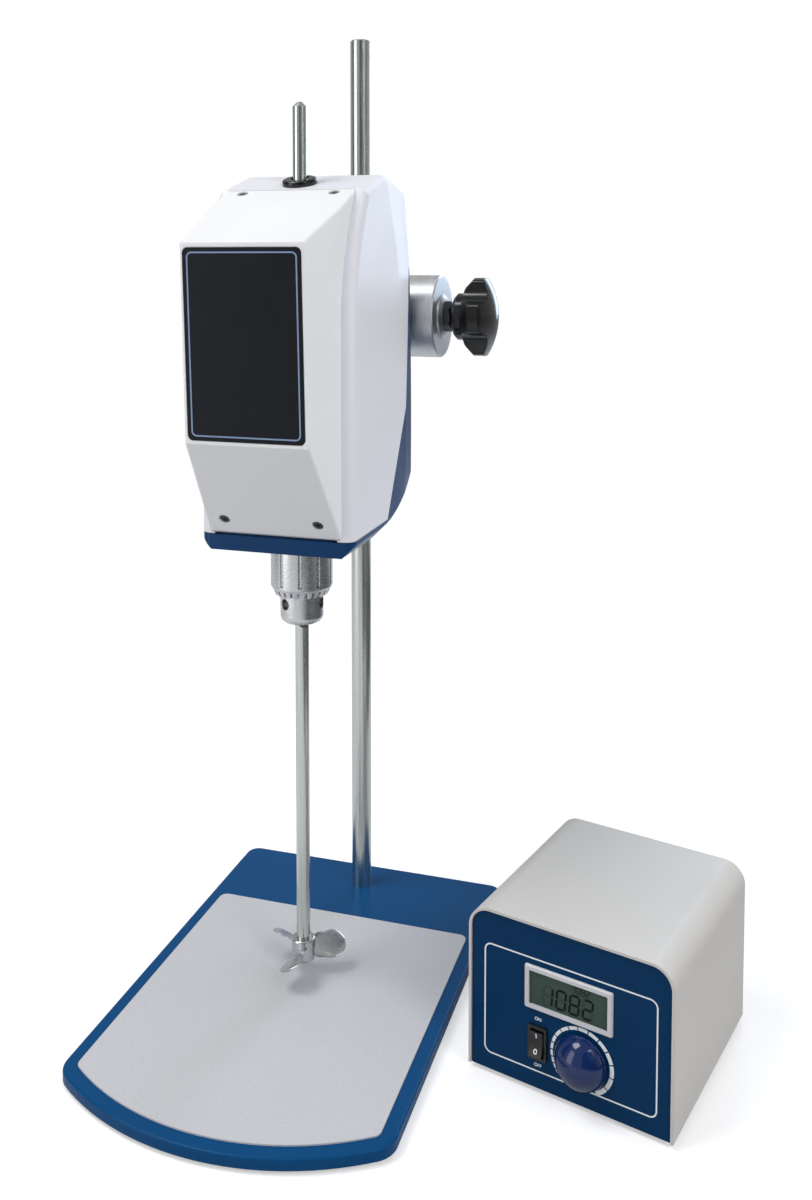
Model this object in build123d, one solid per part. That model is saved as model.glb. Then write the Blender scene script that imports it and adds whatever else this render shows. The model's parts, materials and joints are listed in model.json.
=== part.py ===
from build123d import *
import os
from math import asin, cos, degrees, hypot, radians, sin, sqrt, tan

# Overhead laboratory stirrer: a drive head clamped on a plate stand, and the speed
# controller that stands beside it. Millimetres. Z = 0 is the bench, X runs to the
# right and Y to the rear, and the stirring axis stands at X = 0, Y = 0.

# ---------------------------------------------------------------- fits and walls
FIT = 0.05            # radial clearance of a shaft, pin or screw in its bore
SEAT = 0.02           # clearance of what is pressed or screwed in place
RUN = 0.3             # clearance between pieces that travel past each other
SEAM = 0.3            # open joint between two covers
MOULD_WALL = 2.5      # wall of the moulded covers
SHEET = 1.5           # wall of the folded sheet steel

# ------------------------------------------------------------------ plate stand
UNDERLAY_T = 2.5      # rubber sheet under the plate
UNDERLAY_INSET = 9
PLATE_T = 6
PLATE_HALF = 92       # half of the width
PLATE_REAR_Y = 130
PLATE_FRONT_Y = -145  # foremost point of the bowed front edge
PLATE_BOW = 30        # how far the front edge bows out
PLATE_FRONT_R = 14
PLATE_REAR_R = 8
PLATE_EDGE_R = 1.2
MAT_T = 0.8           # brushed inlay that vessels stand on
MAT_BORDER = 8
MAT_REAR_Y = 65
MAT_R = 5

ROD_R = 6.5
ROD_Y = 106
ROD_LENGTH = 566      # above the plate
ROD_CHAMFER = 0.8
ROD_SCREW_R = 4
ROD_SCREW_GRIP = 18   # length of screw inside the rod
SCREW_HEAD_RATIO = 1.8
SCREW_SOCKET_RATIO = 0.6

# ------------------------------------------------------------------- drive head
# Heights of the head are counted from its underside, which stands at HEAD_Z.
HEAD_Z = 270.5
HEAD_HALF = 45.3
COVER_HALF = 39       # front cover at the joint
COVER_NOSE_HALF = 34.6
SEAM_Y = -39          # joint of the front cover
SEAM_BEND_Z = 118     # here the joint starts to lean back
TRAY_TOP_Z = 9
BROW = (-81, 170.4)   # (Y, Z) upper edge of the front face
CHIN = (-76, 65)      # lower edge of the front face
SEAM_TOP = (-13.5, 200.6)
RIDGE = (22, 211)
CREST_REAR = (66.5, 201.8)
BACK_Y = 75
BACK_BEND_Z = 160     # above this the back leans forward
BACK_TOP_Z = 157      # top of the blue back
HIP = (59.6, 71.2)    # corner of the line between shell and chassis
HEEL_Y = 22.7
KEEL_R = 106          # rounding of the underside towards the back
KEEL_START_Y = 10
SIDE_R = 6
RIDGE_R = 14
NOSE_R = 1.4
TRAY_CHAMFER = 6.5
FACET_R = 304         # crease of the rear facets, as a circle on the side wall
FACET_CENTRE = (-244.3, 59.7)
FACET_SLOPE = 11.8    # growth of that circle per millimetre inwards
LIP_T = 1.4
LIP_H = 4
WINDOW_HALF = 36.4
TONGUE_T = 3.2
TONGUE_REACH = 20
TONGUE_HALF = 33

PANEL_HALF = 33
PANEL_LOW = 2         # from the lower edge of the front face
PANEL_HIGH = 2.6
PANEL_T = 1
PANEL_POCKET = 0.8
PANEL_R = 3

COVER_SCREW_R = 1.5
COVER_SCREW_HEAD_R = 2.8
COVER_SCREW_HEAD_H = 1.2
COVER_SCREW_LENGTH = 9
COVER_SCREW_SINK = 1.5
COVER_SCREW_X = 27.5
TOP_SCREW_REACH = 5   # from the joint, along the slope
CHIN_SCREW_REACH = 10.5

GROMMET_R = 10
GROMMET_NECK_R = 7
GROMMET_BORE_R = 5.4
GROMMET_RISE = 3.4
GROMMET_LIP_R = 9
GROMMET_LIP_T = 1.5

# bearing frame, motor and belt inside the head
FRAME_T = 8
FRAME_HALF = 21
FRAME_BACK_T = 5
FRAME_LOW_Z = 26
FRAME_HIGH_Z = 162
FRAME_RIM_T = 2       # rim that holds a bearing's outer ring
BEARING_R = 16
BEARING_T = 9
BEARING_WALL = 4
BEARING_RACE = 2.5    # width of the rings beside the shields
BEARING_SINK = 0.5
SPINDLE_R = 7.5
SPINDLE_COLLAR_R = 9.5
SPINDLE_SEAT = 13     # length of spindle inside the chuck
SPINDLE_TOP_Z = 195
MOTOR_Y = 40
MOTOR_R = 22
MOTOR_LENGTH = 78
MOTOR_SHAFT_R = 3
MOTOR_BOSS_R = 8
MOTOR_SCREW_RING = 15
PULLEY_Z = 176
PULLEY_T = 11
PULLEY_FLANGE_T = 1.5
PULLEY_FLANGE = 1.8
SPINDLE_PULLEY_R = 14
MOTOR_PULLEY_R = 8
BELT_T = 1.4
BOARD_HALF = 26
BOARD_T = 1.6
BOARD_LOW_Z = 84
BOARD_HIGH_Z = 150
BOARD_GAP = 8         # from the inner face of the front cover
BOARD_BLOCKS = (      # X range, height and Z range above the board's lower edge
    ((-20, -6), 12, (10, 30)),
    ((4, 20), 6, (8, 18)),
    ((12, 15), 16, (32, 58)),
)
BOARD_CAN_X = -13, 2  # the two round capacitors
BOARD_CAN_R = 5
BOARD_CAN_H = 14
BOARD_CAN_DROP = 14   # from the board's upper edge
BOARD_SINK = 0.2      # the components' feet in the board
POST_R = 3
SOCKET_X = -33
SOCKET_Z = 60
SOCKET_R = 6.5
SOCKET_BORE_R = 5
SOCKET_DEPTH = 9
SOCKET_FLOOR = 1.5
SOCKET_FLANGE_T = 2
SOCKET_BEVEL = 0.8
PIN_R = 0.7
PIN_SINK = 4          # from the flange to the pins' tips
PIN_RING = 0.55       # pin circle as a share of the bore

# ------------------------------------------------------------------- rod clamp
BOSS_R = 26.5
BOSS_Z = 125
BOSS_RIGHT = 56
BOSS_LEFT = -36
SADDLE_HALF = 20
BUSH_WALL = 2
BUSH_LENGTH = 16
BUSH_FLANGE_R = 12
BUSH_FLANGE_T = 1.5
SPOTFACE_DEPTH = 2.5
BOSS_SCREW_R = 3
BOSS_SCREW_OFFSET = 12
BOSS_SCREW_DEPTH = 17
CLAMP_SCREW_R = 5
PAD_T = 5
PAD_PIN_R = 2.5
PAD_PIN_L = 3
COLLAR_R = 14
COLLAR_T = 2.5
CLAMP_NUT_FLATS = 17
CLAMP_NUT_T = 4.5
KNOB_GAP = 2          # between nut and knob
KNOB_R = 25
KNOB_HUB_R = 15
KNOB_HUB_H = 8
KNOB_H = 27
KNOB_SCALLOP_R = 13
KNOB_SCALLOP_AT = 31.5
KNOB_DOME = 7
KNOB_LOBES = 4
KNOB_SCREW_DEPTH = 12

# ------------------------------------------------- keyed chuck, shaft, propeller
# Heights of the chuck are counted from the end of its nose.
CHUCK_DROP = 49       # nose below the underside of the head
CHUCK_LENGTH = 57
CHUCK_NOSE_R = 12.5
CHUCK_NOSE_ROUND = 5.5
CHUCK_BODY_R = 14.2
CHUCK_SLEEVE_R = 17.9
CHUCK_SLEEVE_BORE = 16.2
CHUCK_NOSE_H = 17
TEETH = 24
TOOTH_H = 3.6
TOOTH_ROOT_R = 15.2
FLUTES = 10
FLUTE_R = 1.1
NUT_LOW = 21.5
NUT_HIGH = 29.5
NUT_GROOVE_R = 9.6
KEY_HOLE_R = 3.2
KEY_HOLE_Z = 12
KEY_HOLE_DEPTH = 6
JAWS = 3
JAW_R = 2.6
JAW_LENGTH = 26
JAW_TILT = 11         # degrees between a jaw and the stirring axis
JAW_TIP_R = 5
JAW_TIP_Z = -1.5
JAW_TRAVEL = 4.8
JAW_FIRST = 60        # degrees
CHUCK_MOUTH_R = 7.8

SHAFT_R = 4
SHAFT_BORE_GAP = 0.3
SHAFT_BOTTOM = 18     # above the bench
SHAFT_LENGTH = 503.5
SHAFT_TIP = 2.6
PROP_HUB_R = 7
PROP_HUB_H = 13
PROP_BLADES = 3
PROP_FIRST = -90      # degrees
BLADE_SECTIONS = ((5, 9, 44), (11, 15, 36), (18, 17, 30), (23, 12, 27), (25, 5, 26))
BLADE_T = 1.5
SET_SCREW_R = 2

# ------------------------------------------------------------- speed controller
# The controller is drawn square to its own axes (right, rear, up), then turned.
UNIT_AT = (180, 4)
UNIT_TURN = -15       # degrees
UNIT_HALF = 56.5
UNIT_DEPTH_HALF = 59
UNIT_TOP = 91
UNIT_FOOT = 3
UNIT_FOOT_R = 7
UNIT_BEND_R = 12
FASCIA_SINK = 1
FASCIA_T = 3
LCD_X = 0.6
LCD_Z = 56.8
LCD_HALF = (21.6, 9)
BEZEL_HALF = (24.3, 11.6)
BEZEL_RISE = 1.4
BEZEL_LIP = 1.2
LCD_SINK = 1.2
LCD_T = 7
DISPLAY_BOARD_HALF = (34, 17)
ROCKER_X = -16.2
ROCKER_Z = 27.8
ROCKER_FRAME_HALF = (5.2, 9.1)
ROCKER_LIP = 0.7
ROCKER_WELL_HALF = (3.9, 7.3)
ROCKER_BUTTON_HALF = (3.5, 6.3)
ROCKER_DEPTH = 14
ROCKER_TILT = 9       # degrees either side of the middle
ROCKER_PIN_R = 0.9
DIAL_X = 8.2
DIAL_Z = 26.9
DIAL_R = 14
DIAL_H = 12.5
DIAL_SKIRT = 2.5
DIAL_GAP = 1          # between knob and fascia
DIAL_WALL = 4
DIAL_CROWN = 3
DIAL_SHAFT_R = 3
POT_R = 8.5
POT_T = 10
POT_BUSH_R = 3.5
INLET_X = -28
INLET_Z = 32
INLET_HALF = (13.5, 10)
INLET_CAVITY_HALF = (11.8, 7.8)
INLET_DEPTH = 16
OUTLET_X = 26
OUTLET_Z = 32
FUSE_X = 0
FUSE_R = 6
TRANSFORMER_AT = (-26, 12)
TRANSFORMER_HALF = (21, 18)
TRANSFORMER_H = 42
POWER_BOARD_AT = (24, 16)
POWER_BOARD_HALF = (24, 32)
STANDOFF = 6
UNIT_SCREW_R = 1.5
UNIT_SCREW_HEAD_R = 2.8
UNIT_SCREW_Z = 34, 70
UNIT_TAB = 8          # width of the cover's rear tabs, which take the screws
VENT_HALF = 1.5, 8
VENT_X = range(-30, 31, 6)
VENT_DROP = 26        # from the cover's top to the middle of the slots
VENT_ROUND = 1.4
VENT_CUT = 3          # half the length of the cutter through the rear panel

# ------------------------------------------------------------- derived positions
PLATE_TOP = UNDERLAY_T + PLATE_T
BOW_R = (PLATE_HALF**2 + PLATE_BOW**2) / (2 * PLATE_BOW)
BOW_CENTRE_Y = PLATE_FRONT_Y + BOW_R
CHUCK_Z = HEAD_Z - CHUCK_DROP
SHAFT_BORE_R = SHAFT_R + SHAFT_BORE_GAP
CLAMP_Z = HEAD_Z + BOSS_Z
BUSH_R = ROD_R + FIT + BUSH_WALL
SPOTFACE = BOSS_R - SPOTFACE_DEPTH
FRAME_FRONT_R = BEARING_R + BEARING_WALL + 1
UPPER_BEARING_Z = FRAME_HIGH_Z + FRAME_RIM_T
TOE = (SEAM_Y, TRAY_TOP_Z + 1)      # lower end of the front cover

UP = (Align.CENTER, Align.CENTER, Align.MIN)
MID = (Align.CENTER, Align.CENTER, Align.CENTER)
ALONG_X = Rot(0, 90, 0)
TO_REAR = Rot(-90, 0, 0)
TO_FRONT = Rot(90, 0, 0)
AT_HEAD = Pos(0, 0, HEAD_Z)
AT_CHUCK = Pos(0, 0, CHUCK_Z)
AT_CLAMP = Pos(0, ROD_Y, CLAMP_Z)
AT_UNIT = Pos(UNIT_AT[0], UNIT_AT[1], 0) * Rot(0, 0, UNIT_TURN)


# ------------------------------------------------------------------ basic forms
def bar(radius, start, end):
    """A round bar along Z."""
    return Pos(0, 0, start) * Cylinder(radius, end - start, align=UP)


def tube(outer, inner, start, end):
    """A round tube along Z."""
    return bar(outer, start, end) - bar(inner, start - 1, end + 1)


def block(x, y, z):
    """A box between pairs of coordinates."""
    size = [high - low for low, high in (x, y, z)]
    centre = [(low + high) / 2 for low, high in (x, y, z)]
    return Pos(*centre) * Box(*size, align=MID)


def turned(*profile):
    """A solid turned about Z from (radius, height) points."""
    return revolve(Plane.XZ * make_face(Polyline(*profile, close=True)), Axis.Z)


def slab(face, half):
    """A side-view face (Y, Z) carried across the centre plane."""
    return extrude(Plane.YZ * face, half, both=True)


def polygon(*points):
    return make_face(Polyline(*points, close=True))


def rounded(half_w, half_h, radius, thickness):
    """A plate with rounded corners in XY, from Z = 0 upwards."""
    return extrude(RectangleRounded(2 * half_w, 2 * half_h, radius), thickness)


def dome_middle(radius, low, high):
    """Middle of the arc that closes a turned form from its rim up to the axis."""
    height = high - low
    sphere = (radius ** 2 + height ** 2) / (2 * height)
    half_angle = asin(radius / sphere) / 2
    return sphere * sin(half_angle), high - sphere * (1 - cos(half_angle))


def ring_of(count, first, piece):
    """Copies of a piece spread evenly about Z."""
    return [Rot(0, 0, first + 360 * i / count) * piece for i in range(count)]


def group(pieces):
    """Separate solids that share one name."""
    return Compound(children=[s for piece in pieces for s in piece.solids()])


def flat_head_screw(radius, length, head_r, head_h):
    """A pan head screw with a cross recess; it points down from Z = 0."""
    screw = bar(radius, -length, 0) + fillet(
        bar(head_r, 0, head_h).edges().sort_by(Axis.Z)[-1], head_h / 2
    )
    arm = block((-head_r * 0.6, head_r * 0.6), (-head_r / 9, head_r / 9), (head_h / 3, head_h + 1))
    return screw - arm - Rot(0, 0, 90) * arm


def cap_screw(radius, length):
    """A socket head screw; it points down from Z = 0."""
    head = bar(radius * 5 / 3, 0, radius * 2) - extrude(
        Pos(0, 0, radius) * RegularPolygon(radius * 0.9, 6), radius * 2
    )
    return bar(radius, -length, 0) + head


# ------------------------------------------------------------------ plate stand
def stand_outline(inset, rear_y, front_r, rear_r):
    """The plate's outline, or one parallel to it further in."""
    half = PLATE_HALF - inset
    radius = BOW_R - inset
    side_y = BOW_CENTRE_Y - sqrt(radius**2 - half**2)
    edge = Polyline((half, side_y), (half, rear_y), (-half, rear_y), (-half, side_y))
    edge += ThreePointArc((-half, side_y), (0, PLATE_FRONT_Y + inset), (half, side_y))
    face = make_face(edge)
    face = fillet(face.vertices().sort_by(Axis.Y)[-2:], rear_r)
    middle_y = (PLATE_FRONT_Y + PLATE_REAR_Y) / 2
    corners = [v for v in face.vertices() if v.Y < middle_y]
    return fillet(corners, front_r)


def countersunk_hole():
    """The rod screw's form: shank, cone and head edge, from the plate's underside up."""
    head_r = ROD_SCREW_R * SCREW_HEAD_RATIO
    top = PLATE_TOP + ROD_SCREW_GRIP
    cone_z = UNDERLAY_T + head_r - ROD_SCREW_R
    return turned((0, UNDERLAY_T), (head_r, UNDERLAY_T), (ROD_SCREW_R, cone_z), (ROD_SCREW_R, top), (0, top))


def make_stand():
    at_rod = Pos(0, ROD_Y, 0)
    head_r = ROD_SCREW_R * SCREW_HEAD_RATIO
    screw = countersunk_hole()
    socket = extrude(RegularPolygon(ROD_SCREW_R * SCREW_SOCKET_RATIO, 6), UNDERLAY_T + ROD_SCREW_R * 0.6)
    plate = Pos(0, 0, UNDERLAY_T) * extrude(
        stand_outline(0, PLATE_REAR_Y, PLATE_FRONT_R, PLATE_REAR_R), PLATE_T
    )
    plate = fillet(plate.faces().sort_by(Axis.Z)[-1].edges(), PLATE_EDGE_R)
    underlay = extrude(
        stand_outline(
            UNDERLAY_INSET, PLATE_REAR_Y - UNDERLAY_INSET, PLATE_FRONT_R / 2, PLATE_REAR_R / 2
        ),
        UNDERLAY_T,
    )
    mat = Pos(0, 0, PLATE_TOP) * extrude(
        stand_outline(MAT_BORDER, MAT_REAR_Y, MAT_R, MAT_R), MAT_T
    )
    rod = bar(ROD_R, PLATE_TOP, PLATE_TOP + ROD_LENGTH)
    rod = chamfer(rod.edges().group_by(Axis.Z)[-1], ROD_CHAMFER)
    return {
        "base_underlay": underlay - at_rod * bar(head_r + 1, -1, UNDERLAY_T + 1),
        "base_plate": plate - at_rod * offset_screw(screw),
        "work_mat": mat,
        "stand_rod": at_rod * (rod - bar(ROD_SCREW_R + SEAT, 0, PLATE_TOP + ROD_SCREW_GRIP + 2)),
        "rod_screw": at_rod * (screw - socket),
    }


def offset_screw(screw):
    """The hole that the rod screw seats in: its cone, and a shank hole with play."""
    return screw + bar(ROD_SCREW_R + SEAT, UNDERLAY_T, PLATE_TOP + 1)



# -------------------------------------------------------- outer form of the head
def keel_height(y):
    """Height of the rounded underside above the flat one."""
    return KEEL_R - sqrt(KEEL_R**2 - (y - KEEL_START_Y)**2)


def seam_curve(start_z, shift):
    """The front cover's joint in side view: upright, then leaning back to SEAM_TOP."""
    back = SEAM_TOP[0] - SEAM_Y
    rise = SEAM_TOP[1] - SEAM_BEND_Z
    radius = (back**2 + rise**2) / (2 * back)
    half_turn = asin(rise / radius) / 2
    middle = (
        SEAM_Y + radius * (1 - cos(half_turn)) + shift,
        SEAM_BEND_Z + radius * sin(half_turn),
    )
    bend = (SEAM_Y + shift, SEAM_BEND_Z)
    top = (SEAM_TOP[0] + shift, SEAM_TOP[1])
    return Line((SEAM_Y + shift, start_z), bend) + ThreePointArc(bend, middle, top)


def head_outline():
    """Side view of shell and chassis together, without the front cover."""
    middle_y = (KEEL_START_Y + BACK_Y) / 2
    back_low = (BACK_Y, keel_height(BACK_Y))
    keel_start = (KEEL_START_Y, 0)
    edge = seam_curve(0, 0)
    edge += Polyline(SEAM_TOP, RIDGE, CREST_REAR, (BACK_Y, BACK_BEND_Z), back_low)
    edge += ThreePointArc(back_low, (middle_y, keel_height(middle_y)), keel_start)
    edge += Line(keel_start, (SEAM_Y, 0))
    face = make_face(edge)
    ridge = face.vertices().sort_by_distance((RIDGE[0], RIDGE[1], 0))[0]
    return fillet(ridge, RIDGE_R)


def facet(inset):
    """Two wide cones that slope the rear of the side walls inwards."""
    half = HEAD_HALF - inset
    cone = Cone(FACET_R + FACET_SLOPE * half, FACET_R - FACET_SLOPE, half + 1, align=UP)
    right = Pos(0, *FACET_CENTRE) * ALONG_X * cone
    return right + mirror(right, Plane.YZ)


def follows_top(edge):
    """Whether an edge of the side wall runs along the front joint or the top."""
    at_front = edge.center().Y < SEAM_TOP[0] and edge.center().Z > 2 * TRAY_TOP_Z
    return at_front or edge.center().Z > BACK_BEND_Z + TRAY_TOP_Z


def follows_keel(edge):
    """Whether an edge of the side wall runs along the underside."""
    return edge.center().Y > SEAM_Y + MOULD_WALL + 1 and edge.center().Z < keel_height(BACK_Y)


def head_form(inset):
    """Shell and chassis as one solid form, or the same form further in."""
    half = HEAD_HALF - inset
    outline = head_outline()
    if inset:
        outline = offset(outline, -inset, kind=Kind.INTERSECTION)
    form = slab(outline, half)
    on_side = [e for e in form.edges() if abs(abs(e.center().X) - half) < SEAT]
    form = chamfer([e for e in on_side if follows_keel(e)], TRAY_CHAMFER)
    if inset < SIDE_R / 2:
        on_side = [e for e in form.edges() if abs(abs(e.center().X) - half) < SEAT]
        form = fillet([e for e in on_side if follows_top(e)], SIDE_R - inset)
    return form & facet(inset)


def shell_zone(growth):
    """The room above the line between shell and chassis, grown or shrunk."""
    far = 2 * RIDGE[1]
    back_top = (BACK_Y - MOULD_WALL + SEAM, BACK_TOP_Z)
    face = polygon(
        (-far, TRAY_TOP_Z), (HEEL_Y, TRAY_TOP_Z), HIP, back_top, (far, BACK_TOP_Z), (far, far), (-far, far)
    )
    if growth:
        face = offset(face, growth, kind=Kind.INTERSECTION)
    return slab(face, far)


def cover_plan(inset):
    """Plan view of the front cover: drafted sides that narrow towards the front."""
    half, nose = COVER_HALF - inset, COVER_NOSE_HALF - inset
    far_y = SEAM_TOP[0] + 2 * RIDGE_R
    right = [(half, far_y), (half, SEAM_Y), (nose, BROW[0])]
    left = [(-x, y) for x, y in reversed(right)]
    return polygon(*right, *left)


def cover_form():
    """The front cover as a solid form."""
    edge = seam_curve(TOE[1], 0) + Polyline(SEAM_TOP, BROW, CHIN, TOE)
    return slab(make_face(edge), COVER_HALF) & extrude(cover_plan(0), 2 * RIDGE[1])


def cover_room():
    """Side view of the room inside the front cover, carried on behind its joint."""
    reach = 4 * MOULD_WALL
    lean = (SEAM_TOP[1] - BROW[1]) / (SEAM_TOP[0] - BROW[0])
    face = polygon(
        TOE, (SEAM_Y + reach, TOE[1]), (SEAM_Y + reach, SEAM_BEND_Z),
        (SEAM_TOP[0] + reach, SEAM_TOP[1] + reach * lean), BROW, CHIN
    )
    return offset(face, -MOULD_WALL, kind=Kind.INTERSECTION)


def face_plane(low, high):
    """The plane of an outer face between two points of the side view: X across,
    Y from low to high, Z outwards."""
    run, rise = high[0] - low[0], high[1] - low[1]
    return Plane(origin=(0, *low), x_dir=(1, 0, 0), z_dir=(0, -rise, run))


def slope_length(low, high):
    return hypot(high[0] - low[0], high[1] - low[1])


CHIN_PLANE = face_plane(TOE, CHIN)
FRONT_PLANE = face_plane(CHIN, BROW)
TOP_PLANE = face_plane(BROW, SEAM_TOP)
STRIP_PLANE = face_plane(SEAM_TOP, RIDGE)
FRONT_HEIGHT = slope_length(CHIN, BROW)
TOP_LENGTH = slope_length(BROW, SEAM_TOP)
STRIP_SLOPE = (RIDGE[1] - SEAM_TOP[1]) / (RIDGE[0] - SEAM_TOP[0])
GROMMET_ALONG = -SEAM_TOP[0] * hypot(1, STRIP_SLOPE)
SCREW_SPOTS = (
    (TOP_PLANE, TOP_LENGTH - TOP_SCREW_REACH),
    (CHIN_PLANE, CHIN_SCREW_REACH),
)


def screw_places(plane, along):
    """Where the two screws of one sloping face stand, at the bottom of their sinks."""
    return [plane * Pos(side * COVER_SCREW_X, along, -COVER_SCREW_SINK) for side in (-1, 1)]


def tongues():
    """The two flanges behind the front cover that its screws hold in."""
    inner = MOULD_WALL + SEAM
    outer = inner + TONGUE_T
    top = TOP_PLANE * block(
        (-TONGUE_HALF, TONGUE_HALF), (TOP_LENGTH - TONGUE_REACH, TOP_LENGTH), (-outer, -inner)
    )
    root = STRIP_PLANE * block(
        (-TONGUE_HALF, TONGUE_HALF), (-1, GROMMET_ALONG - GROMMET_LIP_R - SEAM), (-outer, 1 - MOULD_WALL)
    )
    low = CHIN_PLANE * block((-TONGUE_HALF, TONGUE_HALF), (0, TONGUE_REACH), (-outer, -inner))
    ledge_y = (SEAM_Y + MOULD_WALL - 1, SEAM_Y + MOULD_WALL + TONGUE_T)
    ledge = block((-TONGUE_HALF, TONGUE_HALF), ledge_y, (1, TOE[1] + 2 * TONGUE_T))
    return top + root, low + ledge


def screw_holes(clearance):
    """Shank holes of all four cover screws."""
    depth = COVER_SCREW_LENGTH + 1
    return [
        place * bar(COVER_SCREW_R + clearance, -depth, 0)
        for plane, along in SCREW_SPOTS
        for place in screw_places(plane, along)
    ]


def make_covers():
    outer = head_form(0)
    hollow = outer - head_form(MOULD_WALL)
    top_tongue, low_tongue = tongues()
    window = slab(cover_room(), WINDOW_HALF)
    sill_y = SEAM_Y - 1, SEAM_Y + MOULD_WALL + 1
    sill_z = TRAY_TOP_Z - 1, TOE[1] + 2 * MOULD_WALL
    sill = block((-WINDOW_HALF, WINDOW_HALF), sill_y, sill_z)
    grommet_place = STRIP_PLANE * Pos(0, GROMMET_ALONG, 0)
    shell = (hollow & shell_zone(0)) - window - sill + top_tongue
    shell -= grommet_place * bar(GROMMET_NECK_R + SEAT, -4 * MOULD_WALL, MOULD_WALL)
    shell -= screw_holes(SEAT)[:2]

    lining = head_form(MOULD_WALL + FIT) - head_form(MOULD_WALL + LIP_T)
    lip = lining & (shell_zone(SEAM) - shell_zone(-LIP_H))
    root = head_form(MOULD_WALL - SEAM) - head_form(MOULD_WALL + LIP_T)
    root &= shell_zone(LIP_H) - shell_zone(SEAM)
    lip = lip + root - block((-FRAME_HALF - 3, FRAME_HALF + 3), (BACK_Y / 2, BACK_Y), (HIP[1], RIDGE[1]))
    chassis = (hollow - shell_zone(SEAM)) + lip + low_tongue
    chassis -= bar(CHUCK_SLEEVE_R + 2, -1, MOULD_WALL + 1)
    chassis -= screw_holes(SEAT)[2:]
    chassis -= boss_screw_places(bar(BOSS_SCREW_R + SEAT, -1, BOSS_SCREW_DEPTH))
    chassis -= Pos(SOCKET_X, BACK_Y, SOCKET_Z) * TO_REAR * bar(SOCKET_R + SEAT, -2 * MOULD_WALL, 1)

    cover = cover_form()
    sides = [e for e in cover.edges() if is_cover_side(e)]
    cover = fillet(sides, NOSE_R)
    cover -= slab(cover_room(), COVER_HALF) & extrude(cover_plan(MOULD_WALL), 2 * RIDGE[1])
    board_y = CHIN[0] + MOULD_WALL + BOARD_GAP
    posts = [
        Pos(x, 0, z) * TO_REAR * bar(POST_R, BROW[0], board_y) & cover_form()
        for x in (POST_R - BOARD_HALF, BOARD_HALF - POST_R)
        for z in (BOARD_LOW_Z + POST_R, BOARD_HIGH_Z - POST_R)
    ]
    cover = cover + posts
    cover -= FRONT_PLANE * Pos(0, 0, -PANEL_POCKET) * label_plate(SEAT)
    cover -= screw_holes(FIT)
    for plane, along in SCREW_SPOTS:
        for place in screw_places(plane, along):
            cover -= place * bar(COVER_SCREW_HEAD_R + RUN, 0, 2 * COVER_SCREW_SINK)
    return {"main_shell": shell, "rear_chassis": chassis, "front_cover": cover}


def is_cover_side(edge):
    """Whether an edge lies where the sides of the front cover meet its faces."""
    middle = edge.center()
    at_side = abs(middle.X) > COVER_NOSE_HALF - 1
    on_joint = middle.Y > SEAM_Y - 1 and middle.Z < SEAM_BEND_Z + 1
    near_top = middle.Z > SEAM_BEND_Z + 1 and middle.Y > (SEAM_Y + SEAM_TOP[0]) / 2
    return at_side and not on_joint and not near_top


def label_plate(clearance):
    """The dark panel of the front face, in the plane of that face."""
    height = FRONT_HEIGHT - PANEL_LOW - PANEL_HIGH
    centre = PANEL_LOW + height / 2
    return Pos(0, centre, 0) * rounded(
        PANEL_HALF + clearance, height / 2 + clearance, PANEL_R, PANEL_T + (1 if clearance else 0)
    )


def make_cover_fittings():
    screw = flat_head_screw(COVER_SCREW_R, COVER_SCREW_LENGTH, COVER_SCREW_HEAD_R, COVER_SCREW_HEAD_H)
    top, chin = [group([p * screw for p in screw_places(*spot)]) for spot in SCREW_SPOTS]
    below = -MOULD_WALL - GROMMET_LIP_T
    grommet = turned(
        (0, below), (GROMMET_LIP_R, below), (GROMMET_LIP_R, -MOULD_WALL),
        (GROMMET_NECK_R, -MOULD_WALL), (GROMMET_NECK_R, 0), (GROMMET_R, 0),
        (GROMMET_R, GROMMET_RISE), (0, GROMMET_RISE)
    )
    grommet = fillet(grommet.edges().sort_by(Axis.Z)[-1], GROMMET_RISE / 2)
    place = STRIP_PLANE * Pos(0, GROMMET_ALONG, 0)
    return {
        "label_panel": FRONT_PLANE * Pos(0, 0, -PANEL_POCKET) * label_plate(0),
        "top_cover_screws": top,
        "chin_cover_screws": chin,
        "shaft_grommet": place * grommet - bar(GROMMET_BORE_R, SPINDLE_TOP_Z, 2 * RIDGE[1]),
    }


# ------------------------------------------------ frame, drive and board inside
def boss_screw_places(piece):
    """Copies of a piece at the four screws of the rod clamp, pointing to the rear."""
    return [
        Pos(side * BOSS_SCREW_OFFSET, BACK_Y - MOULD_WALL - FRAME_BACK_T, BOSS_Z + level * BOSS_SCREW_OFFSET)
        * TO_REAR * piece
        for side in (-1, 1) for level in (-1, 1)
    ]


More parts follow.
